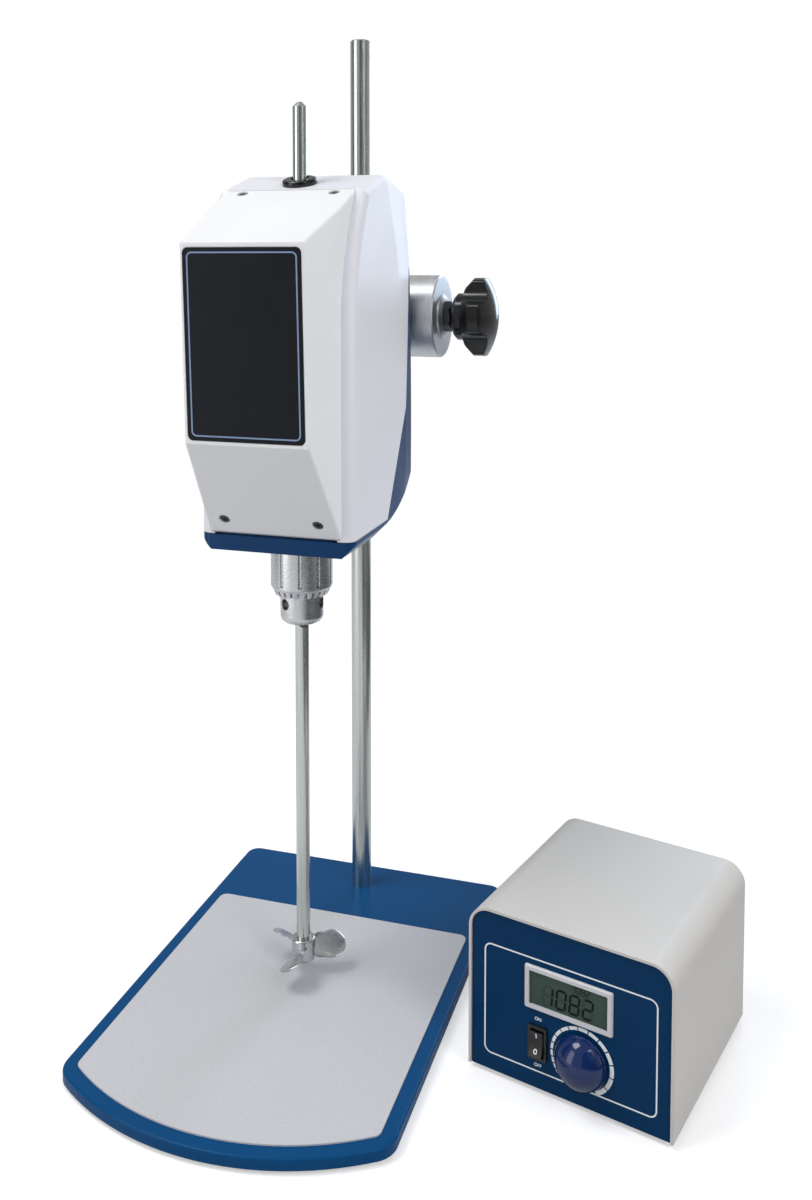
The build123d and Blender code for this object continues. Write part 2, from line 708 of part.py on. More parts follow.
def make_frame():
    """Back plate and two shelves in one casting; each shelf holds a bearing."""
    back_y = (BACK_Y - MOULD_WALL - FRAME_BACK_T, BACK_Y - MOULD_WALL)
    top_z = FRAME_HIGH_Z + FRAME_T
    plan = Circle(FRAME_FRONT_R) + Pos(0, back_y[1] / 2) * Rectangle(2 * FRAME_HALF, back_y[1])
    frame = block((-FRAME_HALF, FRAME_HALF), back_y, (FRAME_LOW_Z, top_z))
    for shelf_z in (FRAME_LOW_Z, FRAME_HIGH_Z):
        frame += Pos(0, 0, shelf_z) * extrude(plan, FRAME_T)
        frame += bar(BEARING_R + BEARING_WALL, shelf_z, shelf_z + BEARING_T + FRAME_RIM_T)
    frame &= head_form(MOULD_WALL)
    frame -= bar(BEARING_R + SEAT, FRAME_LOW_Z - 1, FRAME_LOW_Z + BEARING_T)
    frame -= bar(BEARING_R + SEAT, UPPER_BEARING_Z, top_z + BEARING_T)
    frame -= bar(BEARING_R - BEARING_WALL, FRAME_LOW_Z, top_z)
    frame -= Pos(0, MOTOR_Y, 0) * bar(MOTOR_BOSS_R + SEAT, FRAME_HIGH_Z - 1, top_z + 1)
    frame -= motor_screw_places(bar(MOTOR_SHAFT_R / 2 + SEAT, -FRAME_T - 1, 1))
    frame -= boss_screw_places(bar(BOSS_SCREW_R + SEAT, -1, FRAME_BACK_T + 1))
    return frame


def motor_screw_places(piece):
    """Copies of a piece at the motor's four screws, on top of the upper shelf."""
    at_top = Pos(0, MOTOR_Y, FRAME_HIGH_Z + FRAME_T)
    return [at_top * p for p in ring_of(4, 45, Pos(MOTOR_SCREW_RING, 0, 0) * piece)]


def bearing(low):
    """A shielded ball bearing from a height upwards."""
    ring = tube(BEARING_R, SPINDLE_R + FIT, low, low + BEARING_T)
    groove = bar(BEARING_R - BEARING_RACE, -1, BEARING_SINK) - bar(SPINDLE_R + BEARING_RACE, -2, 2)
    return ring - Pos(0, 0, low) * groove - Pos(0, 0, low + BEARING_T) * mirror(groove, Plane.XY)


def pulley(radius, bore, hub_r, hub_h):
    """A flat belt pulley with two flanges; its hub stands below PULLEY_Z."""
    low, high = PULLEY_Z, PULLEY_Z + PULLEY_T
    rim = radius + PULLEY_FLANGE
    return turned(
        (bore, low - hub_h), (hub_r, low - hub_h), (hub_r, low),
        (rim, low), (rim, low + PULLEY_FLANGE_T - 0.5),
        (radius, low + PULLEY_FLANGE_T), (radius, high - PULLEY_FLANGE_T),
        (rim, high - PULLEY_FLANGE_T + 0.5), (rim, high), (bore, high)
    )


def belt_loop(gap):
    """The belt's loop around both pulleys, a gap away from them."""
    big = Circle(SPINDLE_PULLEY_R + gap)
    small = Pos(0, MOTOR_Y) * Circle(MOTOR_PULLEY_R + gap)
    return make_hull(big.edges() + small.edges())


def make_drive():
    top_z = FRAME_HIGH_Z + FRAME_T
    chuck_top = CHUCK_LENGTH - CHUCK_DROP
    spindle = turned(
        (SHAFT_BORE_R, chuck_top - SPINDLE_SEAT), (SPINDLE_R, chuck_top - SPINDLE_SEAT),
        (SPINDLE_R, chuck_top),
        (SPINDLE_COLLAR_R, chuck_top), (SPINDLE_COLLAR_R, FRAME_LOW_Z), (SPINDLE_R, FRAME_LOW_Z),
        (SPINDLE_R, SPINDLE_TOP_Z), (SHAFT_BORE_R, SPINDLE_TOP_Z)
    )
    motor_low = FRAME_HIGH_Z - MOTOR_LENGTH
    shaft_low = FRAME_HIGH_Z - MOTOR_BOSS_R * 2
    motor = turned(
        (0, motor_low), (MOTOR_R - 6, motor_low), (MOTOR_R - 6, motor_low + 3), (MOTOR_R, motor_low + 5),
        (MOTOR_R, FRAME_HIGH_Z), (MOTOR_BOSS_R, FRAME_HIGH_Z),
        (MOTOR_BOSS_R, FRAME_HIGH_Z + 3), (0, FRAME_HIGH_Z + 3)
    ) - bar(MOTOR_SHAFT_R + FIT, shaft_low, top_z)
    at_motor = Pos(0, MOTOR_Y, 0)
    motor = at_motor * motor - motor_screw_places(bar(MOTOR_SHAFT_R / 2 + SEAT, -FRAME_T - 7, 1))
    screw = flat_head_screw(MOTOR_SHAFT_R / 2, FRAME_T + 6, MOTOR_SHAFT_R * 0.9, MOTOR_SHAFT_R * 0.6)
    belt_z = PULLEY_Z + PULLEY_FLANGE_T + SEAM
    belt = belt_loop(RUN + BELT_T) - belt_loop(RUN)
    belt = Pos(0, 0, belt_z) * extrude(belt, PULLEY_T - 2 * (PULLEY_FLANGE_T + SEAM))
    return {
        "hollow_spindle": spindle,
        "lower_bearing": bearing(FRAME_LOW_Z),
        "upper_bearing": bearing(UPPER_BEARING_Z),
        "spindle_pulley": pulley(
            SPINDLE_PULLEY_R, SPINDLE_R + SEAT, SPINDLE_COLLAR_R, PULLEY_Z - UPPER_BEARING_Z - BEARING_T
        ),
        "motor": motor,
        "motor_screws": group(motor_screw_places(screw)),
        "motor_shaft": at_motor * bar(MOTOR_SHAFT_R, shaft_low + 1, PULLEY_Z + PULLEY_T),
        "motor_pulley": at_motor * pulley(MOTOR_PULLEY_R, MOTOR_SHAFT_R + SEAT, MOTOR_SHAFT_R + 2, 1),
        "drive_belt": belt,
    }


def make_board():
    """The drive's circuit board on the posts of the front cover."""
    front_y = CHIN[0] + MOULD_WALL + BOARD_GAP
    board = block((-BOARD_HALF, BOARD_HALF), (front_y, front_y + BOARD_T), (BOARD_LOW_Z, BOARD_HIGH_Z))
    face_y = front_y + BOARD_T - BOARD_SINK
    blocks = [
        block(x_range, (face_y, face_y + height), (BOARD_LOW_Z + low, BOARD_LOW_Z + high))
        for x_range, height, (low, high) in BOARD_BLOCKS
    ]
    can = TO_REAR * bar(BOARD_CAN_R, face_y, face_y + BOARD_CAN_H)
    cans = [Pos(x, 0, BOARD_HIGH_Z - BOARD_CAN_DROP) * can for x in BOARD_CAN_X]
    return {"control_board": board + blocks + cans}


def pin_socket(radius, flange, depth, pins):
    """A round panel socket that opens towards +Z, its flange on Z = 0."""
    bore = radius - (SOCKET_R - SOCKET_BORE_R)
    rim = bar(flange, 0, SOCKET_FLANGE_T)
    body = bar(radius, -depth - SOCKET_FLOOR, 0) + chamfer(rim.edges().sort_by(Axis.Z)[-1], SOCKET_BEVEL)
    body -= bar(bore, -depth, SOCKET_FLANGE_T + 1)
    pin = bar(PIN_R, -depth - SOCKET_FLOOR / 3, -PIN_SINK)
    return body + ring_of(pins, 0, Pos(bore * PIN_RING, 0, 0) * pin)


# ------------------------------------------------------------------- rod clamp
def make_clamp():
    pad_start = ROD_R + RUN
    pad_end = pad_start + PAD_T
    nut_start = BOSS_RIGHT + COLLAR_T
    knob_start = nut_start + CLAMP_NUT_T + KNOB_GAP
    saddle = block((-SADDLE_HALF, SADDLE_HALF), (BACK_Y - ROD_Y, 0), (-SADDLE_HALF, SADDLE_HALF))
    body = ALONG_X * bar(BOSS_R, BOSS_LEFT, BOSS_RIGHT)
    body = chamfer(body.edges().filter_by(GeomType.CIRCLE), 0.8)
    body += saddle
    body -= bar(BUSH_R + FIT, -BOSS_R - 1, BOSS_R + 1)
    body -= bar(BUSH_FLANGE_R + RUN, SPOTFACE, BOSS_R + 1)
    body -= bar(BUSH_FLANGE_R + RUN, -BOSS_R - 1, -SPOTFACE)
    body -= ALONG_X * bar(CLAMP_SCREW_R + FIT, 0, BOSS_RIGHT + 1)
    to_clamp = Pos(0, -ROD_Y, -BOSS_Z)
    screw_hole = bar(BOSS_SCREW_R + SEAT, 0, BOSS_SCREW_DEPTH + FRAME_BACK_T + MOULD_WALL + 1)
    body -= [to_clamp * hole for hole in boss_screw_places(screw_hole)]

    bush = tube(BUSH_R, ROD_R + FIT, SPOTFACE - BUSH_LENGTH, SPOTFACE + FIT)
    bush += tube(BUSH_FLANGE_R, ROD_R + FIT, SPOTFACE + FIT, SPOTFACE + FIT + BUSH_FLANGE_T)
    pin_hole = bar(PAD_PIN_R + FIT, pad_end - PAD_PIN_L - FIT, pad_end + 1)
    screw = bar(CLAMP_SCREW_R, pad_end + FIT, knob_start + KNOB_SCREW_DEPTH)
    screw += bar(PAD_PIN_R, pad_end - PAD_PIN_L, pad_end + 1)
    pad = bar(CLAMP_SCREW_R - RUN, pad_start, pad_end) - pin_hole
    collar = turned(
        (CLAMP_SCREW_R + RUN, BOSS_RIGHT), (COLLAR_R, BOSS_RIGHT), (COLLAR_R, BOSS_RIGHT + COLLAR_T / 3),
        (COLLAR_R - COLLAR_T, nut_start), (CLAMP_SCREW_R + RUN, nut_start)
    )
    nut_across = CLAMP_NUT_FLATS / sqrt(3)
    nut = Pos(0, 0, nut_start) * extrude(RegularPolygon(nut_across, 6), CLAMP_NUT_T)
    nut &= turned(
        (0, nut_start), (nut_across, nut_start), (nut_across, nut_start + CLAMP_NUT_T - 1),
        (nut_across - 1.7, nut_start + CLAMP_NUT_T), (0, nut_start + CLAMP_NUT_T)
    )
    nut -= bar(CLAMP_SCREW_R + FIT, nut_start - 1, nut_start + CLAMP_NUT_T + 1)
    knob = Pos(0, 0, knob_start) * star_knob()
    pieces = {
        "clamp_boss": body,
        "rod_bushes": group([bush, mirror(bush, Plane.XY)]),
        "boss_screws": group(to_clamp * s for s in boss_screw_places(Rot(180, 0, 0) * boss_screw())),
        "clamp_pad": ALONG_X * pad,
        "clamp_screw": ALONG_X * screw,
        "boss_collar": ALONG_X * collar,
        "clamp_nut": ALONG_X * nut,
        "clamp_knob": ALONG_X * knob,
    }
    return pieces


def boss_screw():
    return cap_screw(BOSS_SCREW_R, BOSS_SCREW_DEPTH + FRAME_BACK_T + MOULD_WALL)


def star_knob():
    """A lobed grip with a stepped hub below it, standing on Z = 0."""
    star = Circle(KNOB_R) - [
        Rot(0, 0, 45 + 360 * i / KNOB_LOBES) * Pos(KNOB_SCALLOP_AT, 0) * Circle(KNOB_SCALLOP_R)
        for i in range(KNOB_LOBES)
    ]
    star = fillet(star.vertices(), 3.5)
    shoulder = KNOB_H - KNOB_DOME
    profile = Polyline(
        (0, 0), (KNOB_HUB_R - 2, 0), (KNOB_HUB_R, 2), (KNOB_HUB_R, KNOB_HUB_H - 2), (KNOB_R - 5, KNOB_HUB_H),
        (KNOB_R, KNOB_HUB_H + 5), (KNOB_R, shoulder)
    )
    profile += ThreePointArc((KNOB_R, shoulder), dome_middle(KNOB_R, shoulder, KNOB_H), (0, KNOB_H))
    profile += Line((0, KNOB_H), (0, 0))
    form = revolve(Plane.XZ * make_face(profile), Axis.Z)
    grip = Pos(0, 0, KNOB_HUB_H - 2) * extrude(star, KNOB_H)
    return form & (grip + bar(KNOB_HUB_R, 0, KNOB_HUB_H)) - bar(CLAMP_SCREW_R + SEAT, -1, KNOB_SCREW_DEPTH)


# ------------------------------------------------- keyed chuck, shaft, propeller
def jaw_place(angle):
    """Frame of one jaw: Z runs up along the jaw from its tip, X points outwards."""
    return Rot(0, 0, angle) * Pos(JAW_TIP_R, 0, JAW_TIP_Z) * Rot(0, JAW_TILT, 0)


def chuck_teeth():
    """Gaps between the bevel teeth on the lower rim of the sleeve."""
    low = CHUCK_NOSE_H
    gap = polygon((-1.25, -1), (1.25, -1), (0.55, TOOTH_H), (-0.55, TOOTH_H))
    wedge = Plane(origin=(0, 0, low), x_dir=(0, 1, 0), z_dir=(1, 0, 0)) * gap
    cutter = extrude(wedge, CHUCK_SLEEVE_R + 1) - bar(CHUCK_NOSE_R + 1, low - 2, low + TOOTH_H + 1)
    return ring_of(TEETH, 0, cutter)


def make_chuck():
    top = CHUCK_LENGTH
    shoulder = CHUCK_NOSE_H + TOOTH_H
    body = turned(
        (SHAFT_BORE_R, CHUCK_NOSE_ROUND), (CHUCK_MOUTH_R, 0), (CHUCK_NOSE_R, 0), (CHUCK_NOSE_R, shoulder - 1),
        (CHUCK_BODY_R, shoulder), (CHUCK_BODY_R, NUT_LOW - RUN), (NUT_GROOVE_R, NUT_LOW - RUN),
        (NUT_GROOVE_R, NUT_HIGH + RUN), (CHUCK_BODY_R, NUT_HIGH + RUN), (CHUCK_BODY_R, top),
        (SPINDLE_R + SEAT, top), (SPINDLE_R + SEAT, top - SPINDLE_SEAT), (SHAFT_BORE_R, top - SPINDLE_SEAT)
    )
    rim = [e for e in body.edges().filter_by(GeomType.CIRCLE) if abs(e.radius - CHUCK_NOSE_R) < SEAT]
    body = fillet(sorted(rim, key=lambda e: e.center().Z)[0], CHUCK_NOSE_ROUND - 1)
    hole = bar(JAW_R + RUN, -2 * JAW_R, JAW_LENGTH + JAW_TRAVEL + RUN)
    body -= [jaw_place(JAW_FIRST + 360 * i / JAWS) * hole for i in range(JAWS)]
    key_hole = bar(KEY_HOLE_R, CHUCK_NOSE_R - KEY_HOLE_DEPTH, CHUCK_NOSE_R + 1)
    key_hole = Pos(0, 0, KEY_HOLE_Z) * ALONG_X * key_hole
    body -= ring_of(JAWS, JAW_FIRST + 180 / JAWS, key_hole)

    sleeve = turned(
        (CHUCK_NOSE_R + RUN, CHUCK_NOSE_H), (TOOTH_ROOT_R, CHUCK_NOSE_H), (CHUCK_SLEEVE_R - 1, shoulder),
        (CHUCK_SLEEVE_R, shoulder + 1.5), (CHUCK_SLEEVE_R, top - 1.5), (CHUCK_SLEEVE_R - 1.5, top),
        (CHUCK_BODY_R + RUN, top), (CHUCK_BODY_R + RUN, NUT_HIGH), (CHUCK_SLEEVE_BORE, NUT_HIGH),
        (CHUCK_SLEEVE_BORE, NUT_LOW), (CHUCK_BODY_R + RUN, NUT_LOW), (CHUCK_BODY_R + RUN, shoulder - 1.4),
        (CHUCK_NOSE_R + RUN, shoulder - 1.4)
    )
    sleeve -= chuck_teeth()
    flute = Pos(CHUCK_SLEEVE_R + FLUTE_R / 3, 0, 0) * bar(FLUTE_R, shoulder + 3, top + 1)
    sleeve -= ring_of(FLUTES, 0, flute)

    flank = JAW_TIP_R + JAW_R / cos(radians(JAW_TILT)) + RUN
    lean = tan(radians(JAW_TILT))
    nut = turned(
        (flank + lean * (NUT_LOW - JAW_TIP_Z), NUT_LOW), (CHUCK_SLEEVE_BORE - SEAT, NUT_LOW),
        (CHUCK_SLEEVE_BORE - SEAT, NUT_HIGH), (flank + lean * (NUT_HIGH - JAW_TIP_Z), NUT_HIGH)
    )
    pieces = {"chuck_body": body, "chuck_sleeve": sleeve, "chuck_nut": nut}
    jaw = chamfer(bar(JAW_R, 0, JAW_LENGTH).edges().filter_by(GeomType.CIRCLE), 0.5)
    for i in range(JAWS):
        place = jaw_place(JAW_FIRST + 360 * i / JAWS)
        pieces[f"chuck_jaw_{i + 1}"] = place * jaw - bar(SHAFT_R + FIT, -JAW_LENGTH, 2 * JAW_LENGTH)
    return pieces


def blade():
    """A pitched, twisted propeller blade along X, through sections from root to tip."""
    sections = [
        Plane(origin=(reach, 0, 0), x_dir=(0, cos(radians(pitch)), sin(radians(pitch))), z_dir=(1, 0, 0))
        * Ellipse(chord / 2, BLADE_T / 2)
        for reach, chord, pitch in BLADE_SECTIONS
    ]
    return loft(sections)


def make_stirrer():
    hub_low = SHAFT_BOTTOM
    middle = Pos(0, 0, hub_low + PROP_HUB_H / 2)
    shaft = bar(SHAFT_R, SHAFT_BOTTOM + 1, SHAFT_BOTTOM + SHAFT_LENGTH)
    shaft = chamfer(shaft.edges().sort_by(Axis.Z)[-1], SHAFT_TIP, SHAFT_TIP)
    hub = bar(PROP_HUB_R, hub_low, hub_low + PROP_HUB_H)
    hub = fillet(hub.edges().filter_by(GeomType.CIRCLE), 1.2)
    set_hole = middle * Rot(0, 0, 30 - PROP_FIRST) * ALONG_X * bar(SET_SCREW_R + SEAT, 0, PROP_HUB_R + 1)
    propeller = hub + [middle * b for b in ring_of(PROP_BLADES, PROP_FIRST, blade())]
    propeller -= bar(SHAFT_R + SEAT, SHAFT_BOTTOM + 1, hub_low + PROP_HUB_H + 1)
    propeller -= set_hole
    set_screw = bar(SET_SCREW_R, SHAFT_R + SEAT, PROP_HUB_R - 0.5)
    set_screw -= extrude(Pos(0, 0, PROP_HUB_R - 2) * RegularPolygon(SET_SCREW_R / 2, 6), 3)
    return {
        "stirring_shaft": shaft,
        "propeller": propeller,
        "propeller_set_screw": middle * Rot(0, 0, 30 - PROP_FIRST) * ALONG_X * set_screw,
    }


# ------------------------------------------------------------- speed controller
def unit_profile(inset):
    """Front view of the controller's cover, or the same outline further in."""
    half, top, bend = UNIT_HALF - inset, UNIT_TOP - inset, UNIT_BEND_R - inset
    face = polygon((-half, UNIT_FOOT), (half, UNIT_FOOT), (half, top), (-half, top))
    return fillet(face.vertices().sort_by(Axis.Y)[-2:], bend)


def upright(face, front_y, thickness):
    """A front-view face (X, Z) as a plate from front_y to the rear."""
    return extrude(Plane(origin=(0, front_y, 0), x_dir=(1, 0, 0), z_dir=(0, -1, 0)) * face, -thickness)


def window(half, x, z, front_y, depth, radius=0.8):
    """A rounded rectangular block seen from the front."""
    face = Pos(x, z) * RectangleRounded(2 * half[0], 2 * half[1], radius)
    return upright(face, front_y, depth)


def make_unit_case():
    front = -UNIT_DEPTH_HALF
    cover = upright(unit_profile(0) - unit_profile(SHEET), front, 2 * UNIT_DEPTH_HALF)
    cover -= block((SHEET - UNIT_HALF, UNIT_HALF - SHEET), (2 * front, -2 * front), (0, UNIT_FOOT + SHEET))
    inner = SHEET + SEAM
    fascia_y = front + FASCIA_SINK
    flange_y = fascia_y + FASCIA_T
    fascia = upright(unit_profile(inner), fascia_y, FASCIA_T)
    flange = upright(unit_profile(inner), flange_y, SHEET)
    rear = upright(unit_profile(inner), -front - FASCIA_SINK - SHEET, SHEET)
    half = UNIT_HALF - inner
    floor = block((-half, half), (flange_y, -front - FASCIA_SINK), (UNIT_FOOT, UNIT_FOOT + SHEET))
    fold = block((-half, half), (flange_y, -front - FASCIA_SINK), (UNIT_FOOT, UNIT_FOOT + 3 * STANDOFF))
    fold -= block((SHEET - half, half - SHEET), (2 * front, -2 * front), (0, UNIT_TOP))
    chassis = floor + flange + rear + fold
    tab_half = (UNIT_TAB + SHEET) / 2
    tab = block((-tab_half, tab_half), (-UNIT_TAB / 2, UNIT_TAB / 2), (-2 * SHEET, -SHEET))
    tab -= bar(UNIT_SCREW_R + SEAT, -3 * SHEET, 0)
    cover += [place * tab for place in unit_screw_places()]
    chassis -= [place * bar(UNIT_SCREW_R + FIT, -2 * SHEET, 1) for place in unit_screw_places()]

    lcd_size = tuple(h - BEZEL_LIP + SEAT for h in BEZEL_HALF)
    rocker_size = tuple(h - ROCKER_LIP + SEAT for h in ROCKER_FRAME_HALF)
    lcd_hole = window(lcd_size, LCD_X, LCD_Z, front, 9)
    rocker_hole = window(rocker_size, ROCKER_X, ROCKER_Z, front, 9)
    bush_hole = Pos(DIAL_X, 0, DIAL_Z) * TO_REAR * bar(POT_BUSH_R + SEAT, front - 1, front + 9)
    for hole in (lcd_hole, rocker_hole, bush_hole):
        fascia -= hole
        chassis -= hole
    rear_y = -front - FASCIA_SINK
    chassis -= window(tuple(h + SEAT for h in INLET_HALF), INLET_X, INLET_Z, rear_y - 5, 9)
    chassis -= Pos(OUTLET_X, rear_y, OUTLET_Z) * TO_REAR * bar(SOCKET_R + SEAT, -5, 5)
    chassis -= Pos(FUSE_X, rear_y, OUTLET_Z) * TO_REAR * bar(FUSE_R + SEAT, -5, 5)
    chassis -= vent_slots(rear_y)
    screw = flat_head_screw(UNIT_SCREW_R, 3 * SHEET, UNIT_SCREW_HEAD_R, COVER_SCREW_HEAD_H)
    foot = chamfer(bar(UNIT_FOOT_R, 0, UNIT_FOOT).edges().sort_by(Axis.Z)[0], 0.8)
    inset = UNIT_FOOT_R + 6
    feet = [
        Pos(x * (UNIT_HALF - inset), y * (UNIT_DEPTH_HALF - inset), 0) * foot
        for x in (-1, 1)
        for y in (-1, 1)
    ]
    return {
        "controller_cover": cover,
        "controller_chassis": chassis,
        "controller_fascia": fascia,
        "controller_feet": group(feet),
        "controller_screws": group(p * screw for p in unit_screw_places()),
    }


def unit_screw_places():
    """Where the cover's four screws stand on the rear panel, Z pointing outwards."""
    x = UNIT_HALF - SHEET - UNIT_TAB / 2
    rear_y = UNIT_DEPTH_HALF - FASCIA_SINK
    return [Pos(side * x, rear_y, z) * TO_REAR for side in (-1, 1) for z in UNIT_SCREW_Z]


def vent_slots(rear_y):
    """Cooling slots high in the rear panel."""
    slot_z = UNIT_TOP - VENT_DROP
    return [window(VENT_HALF, x, slot_z, rear_y - VENT_CUT, 2 * VENT_CUT, VENT_ROUND) for x in VENT_X]


def make_display():
    front = -UNIT_DEPTH_HALF + FASCIA_SINK
    collar = BEZEL_HALF[0] - BEZEL_LIP, BEZEL_HALF[1] - BEZEL_LIP
    bezel = window(BEZEL_HALF, LCD_X, LCD_Z, front - BEZEL_RISE, BEZEL_RISE, 1.2)
    bezel = chamfer(bezel.faces().sort_by(Axis.Y)[0].edges(), 0.7)
    bezel += window(collar, LCD_X, LCD_Z, front, FASCIA_T)
    bezel -= window(LCD_HALF, LCD_X, LCD_Z, front - 5, 20, 0.5)
    glass_y = front + LCD_SINK - BEZEL_RISE
    glass = window((LCD_HALF[0] - SEAT, LCD_HALF[1] - SEAT), LCD_X, LCD_Z, glass_y, LCD_T, 0.5)
    board_y = glass_y + LCD_T
    board = window(DISPLAY_BOARD_HALF, LCD_X, LCD_Z, board_y, BOARD_T)
    flange_y = front + FASCIA_T + SHEET
    inset = POST_R
    for x in (inset - DISPLAY_BOARD_HALF[0], DISPLAY_BOARD_HALF[0] - inset):
        for z in (inset - DISPLAY_BOARD_HALF[1], DISPLAY_BOARD_HALF[1] - inset):
            board += Pos(LCD_X + x, 0, LCD_Z + z) * TO_REAR * bar(POST_R, flange_y, board_y + SEAM)
    board += block((-8, 8), (board_y + 1, board_y + 5), (LCD_Z - 6, LCD_Z + 6))
    return {"lcd_bezel": bezel, "lcd_glass": glass, "display_board": board}


def make_rocker():
    front = -UNIT_DEPTH_HALF + FASCIA_SINK
    at_rocker = Pos(ROCKER_X, front, ROCKER_Z)
    frame = window(ROCKER_FRAME_HALF, 0, 0, -BEZEL_RISE, BEZEL_RISE, 1.2)
    housing = ROCKER_FRAME_HALF[0] - ROCKER_LIP, ROCKER_FRAME_HALF[1] - ROCKER_LIP
    frame += window(housing, 0, 0, 0, ROCKER_DEPTH)
    frame -= window(ROCKER_WELL_HALF, 0, 0, -5, 5 + ROCKER_DEPTH - 2, 0.5)
    pin = ALONG_X * bar(ROCKER_PIN_R, -ROCKER_FRAME_HALF[0] + 0.9, ROCKER_FRAME_HALF[0] - 0.9)
    hole = ALONG_X * bar(ROCKER_PIN_R + FIT, -ROCKER_FRAME_HALF[0] + 0.8, ROCKER_FRAME_HALF[0] - 0.8)
    reach, waist = ROCKER_BUTTON_HALF[1], ROCKER_BUTTON_HALF[1] - 1.5
    profile = Polyline((-3.6, reach), (4, waist), (4, -waist), (-3.6, -reach))
    profile += ThreePointArc((-3.6, -reach), (-2.2, 0), (-3.6, reach))
    button = slab(make_face(profile), ROCKER_BUTTON_HALF[0])
    button = Rot(-ROCKER_TILT, 0, 0) * button + pin
    pads = [block((-1, 1), (ROCKER_DEPTH - 1, ROCKER_DEPTH + 5), (z - 2.5, z + 2.5)) for z in (-5, 1, 6)]
    return {
        "rocker_frame": at_rocker * (frame - hole + pads[:1] + pads[2:]),
        "rocker_button": at_rocker * button,
    }


def make_dial():
    """Knob of the speed control, its potentiometer and the shaft between them."""
    front = -UNIT_DEPTH_HALF + FASCIA_SINK
    behind = -FASCIA_T - SHEET
    out = Pos(DIAL_X, front, DIAL_Z) * TO_FRONT
    socket = DIAL_SHAFT_R + SEAT, DIAL_H - DIAL_CROWN
    recess = DIAL_R - DIAL_WALL, DIAL_SKIRT + 1
    profile = Polyline(
        (0, DIAL_H), (0, socket[1]), socket, (socket[0], recess[1]), recess, (recess[0], DIAL_GAP),
        (DIAL_R, DIAL_GAP), (DIAL_R, DIAL_SKIRT)
    )
    profile += ThreePointArc((DIAL_R, DIAL_SKIRT), dome_middle(DIAL_R, DIAL_SKIRT, DIAL_H), (0, DIAL_H))
    knob = revolve(Plane.XZ * make_face(profile), Axis.Z)
    pot = bar(POT_R, behind - POT_T, behind) + bar(POT_BUSH_R, behind, DIAL_SKIRT)
    pot -= bar(DIAL_SHAFT_R + FIT, behind - 4, DIAL_SKIRT + 1)
    nut = extrude(RegularPolygon(POT_BUSH_R * 1.6, 6), 2) - bar(POT_BUSH_R + SEAT, -1, 3)
    return {
        "speed_knob": out * knob,
        "dial_shaft": out * bar(DIAL_SHAFT_R, behind - 4 + SEAT, DIAL_H - DIAL_CROWN),
        "potentiometer": out * pot,
        "dial_nut": out * nut,
    }


def make_power():
    rear_y = UNIT_DEPTH_HALF - FASCIA_SINK
    floor = UNIT_FOOT + SHEET
    inlet = window(INLET_HALF, 0, 0, -INLET_DEPTH - 2, INLET_DEPTH + 2, 1)
    inlet += window((INLET_HALF[0] + 2, INLET_HALF[1] + 2), 0, 0, 0, 2, 2)
    inlet -= window(INLET_CAVITY_HALF, 0, 0, -INLET_DEPTH, INLET_DEPTH + 3, 1.5)
    inlet += [
        block((x - 1, x + 1), (-INLET_DEPTH - 0.5, -5), (z - 2, z + 2))
        for x, z in ((-7, -2), (0, 2), (7, -2))
    ]
    outlet = pin_socket(SOCKET_R, SOCKET_R + 1.8, SOCKET_DEPTH, 4)
    fuse = bar(FUSE_R, -14, 0) + chamfer(bar(FUSE_R + 1.5, 0, 5).edges().sort_by(Axis.Z)[-1], 1)
    fuse -= block((-5, 5), (-0.6, 0.6), (4, 6))
    half_x, half_y = TRANSFORMER_HALF
    core = block((-half_x, half_x), (-half_y / 2, half_y / 2), (floor, floor + TRANSFORMER_H))
    coil = block((-half_x * 0.62, half_x * 0.62), (-half_y, half_y), (floor + 7, floor + TRANSFORMER_H - 7))
    coil = fillet(coil.edges().filter_by(Axis.Z), 3)
    board_z = floor + STANDOFF
    bx, by = POWER_BOARD_HALF
    board = block((-bx, bx), (-by, by), (board_z, board_z + BOARD_T))
    top = board_z + BOARD_T - 0.2
    board += [
        Pos(x, y, 0) * bar(POST_R, floor, board_z + 0.2)
        for x in (4 - bx, bx - 4)
        for y in (4 - by, by - 4)
    ]
    board += [Pos(x, by - 14, 0) * bar(6, top, top + 22) for x in (-12, 4)]
    board += block((bx - 8, bx - 4), (-by + 8, by - 20), (top, top + 26))
    board += block((-14, 6), (-18, -4), (top, top + 10))
    return {
        "mains_inlet": Pos(INLET_X, rear_y, INLET_Z) * inlet,
        "motor_outlet": Pos(OUTLET_X, rear_y, OUTLET_Z) * TO_REAR * outlet,
        "fuse_holder": Pos(FUSE_X, rear_y, OUTLET_Z) * TO_REAR * fuse,
        "transformer": Pos(*TRANSFORMER_AT, 0) * (core + coil),
        "power_board": Pos(*POWER_BOARD_AT, 0) * board,
    }


# ------------------------------------------------------------------ whole object
def placed(place, pieces):
    return {name: place * piece for name, piece in pieces.items()}


def make_head():
    socket_at = Pos(SOCKET_X, BACK_Y, SOCKET_Z) * TO_REAR
    return {
        **make_covers(),
        **make_cover_fittings(),
        "spindle_frame": make_frame(),
        **make_drive(),
        **make_board(),
        "head_socket": socket_at * pin_socket(SOCKET_R, SOCKET_R + 1.8, SOCKET_DEPTH, 4),
    }


def main():
    pieces = {
        **make_stand(),
        **placed(AT_HEAD, make_head()),
        **placed(AT_CLAMP, make_clamp()),
        **placed(AT_CHUCK, make_chuck()),
        **make_stirrer(),
        **placed(AT_UNIT, {
            **make_unit_case(), **make_display(), **make_rocker(), **make_dial(), **make_power()
        }),
    }
    os.makedirs("parts", exist_ok=True)
    for name, piece in pieces.items():
        export_step(piece, f"parts/{name}.step")


main()
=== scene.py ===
"""Looks of the overhead stirrer: materials, printed marks, floor, light and camera, in metres."""

import json
import math

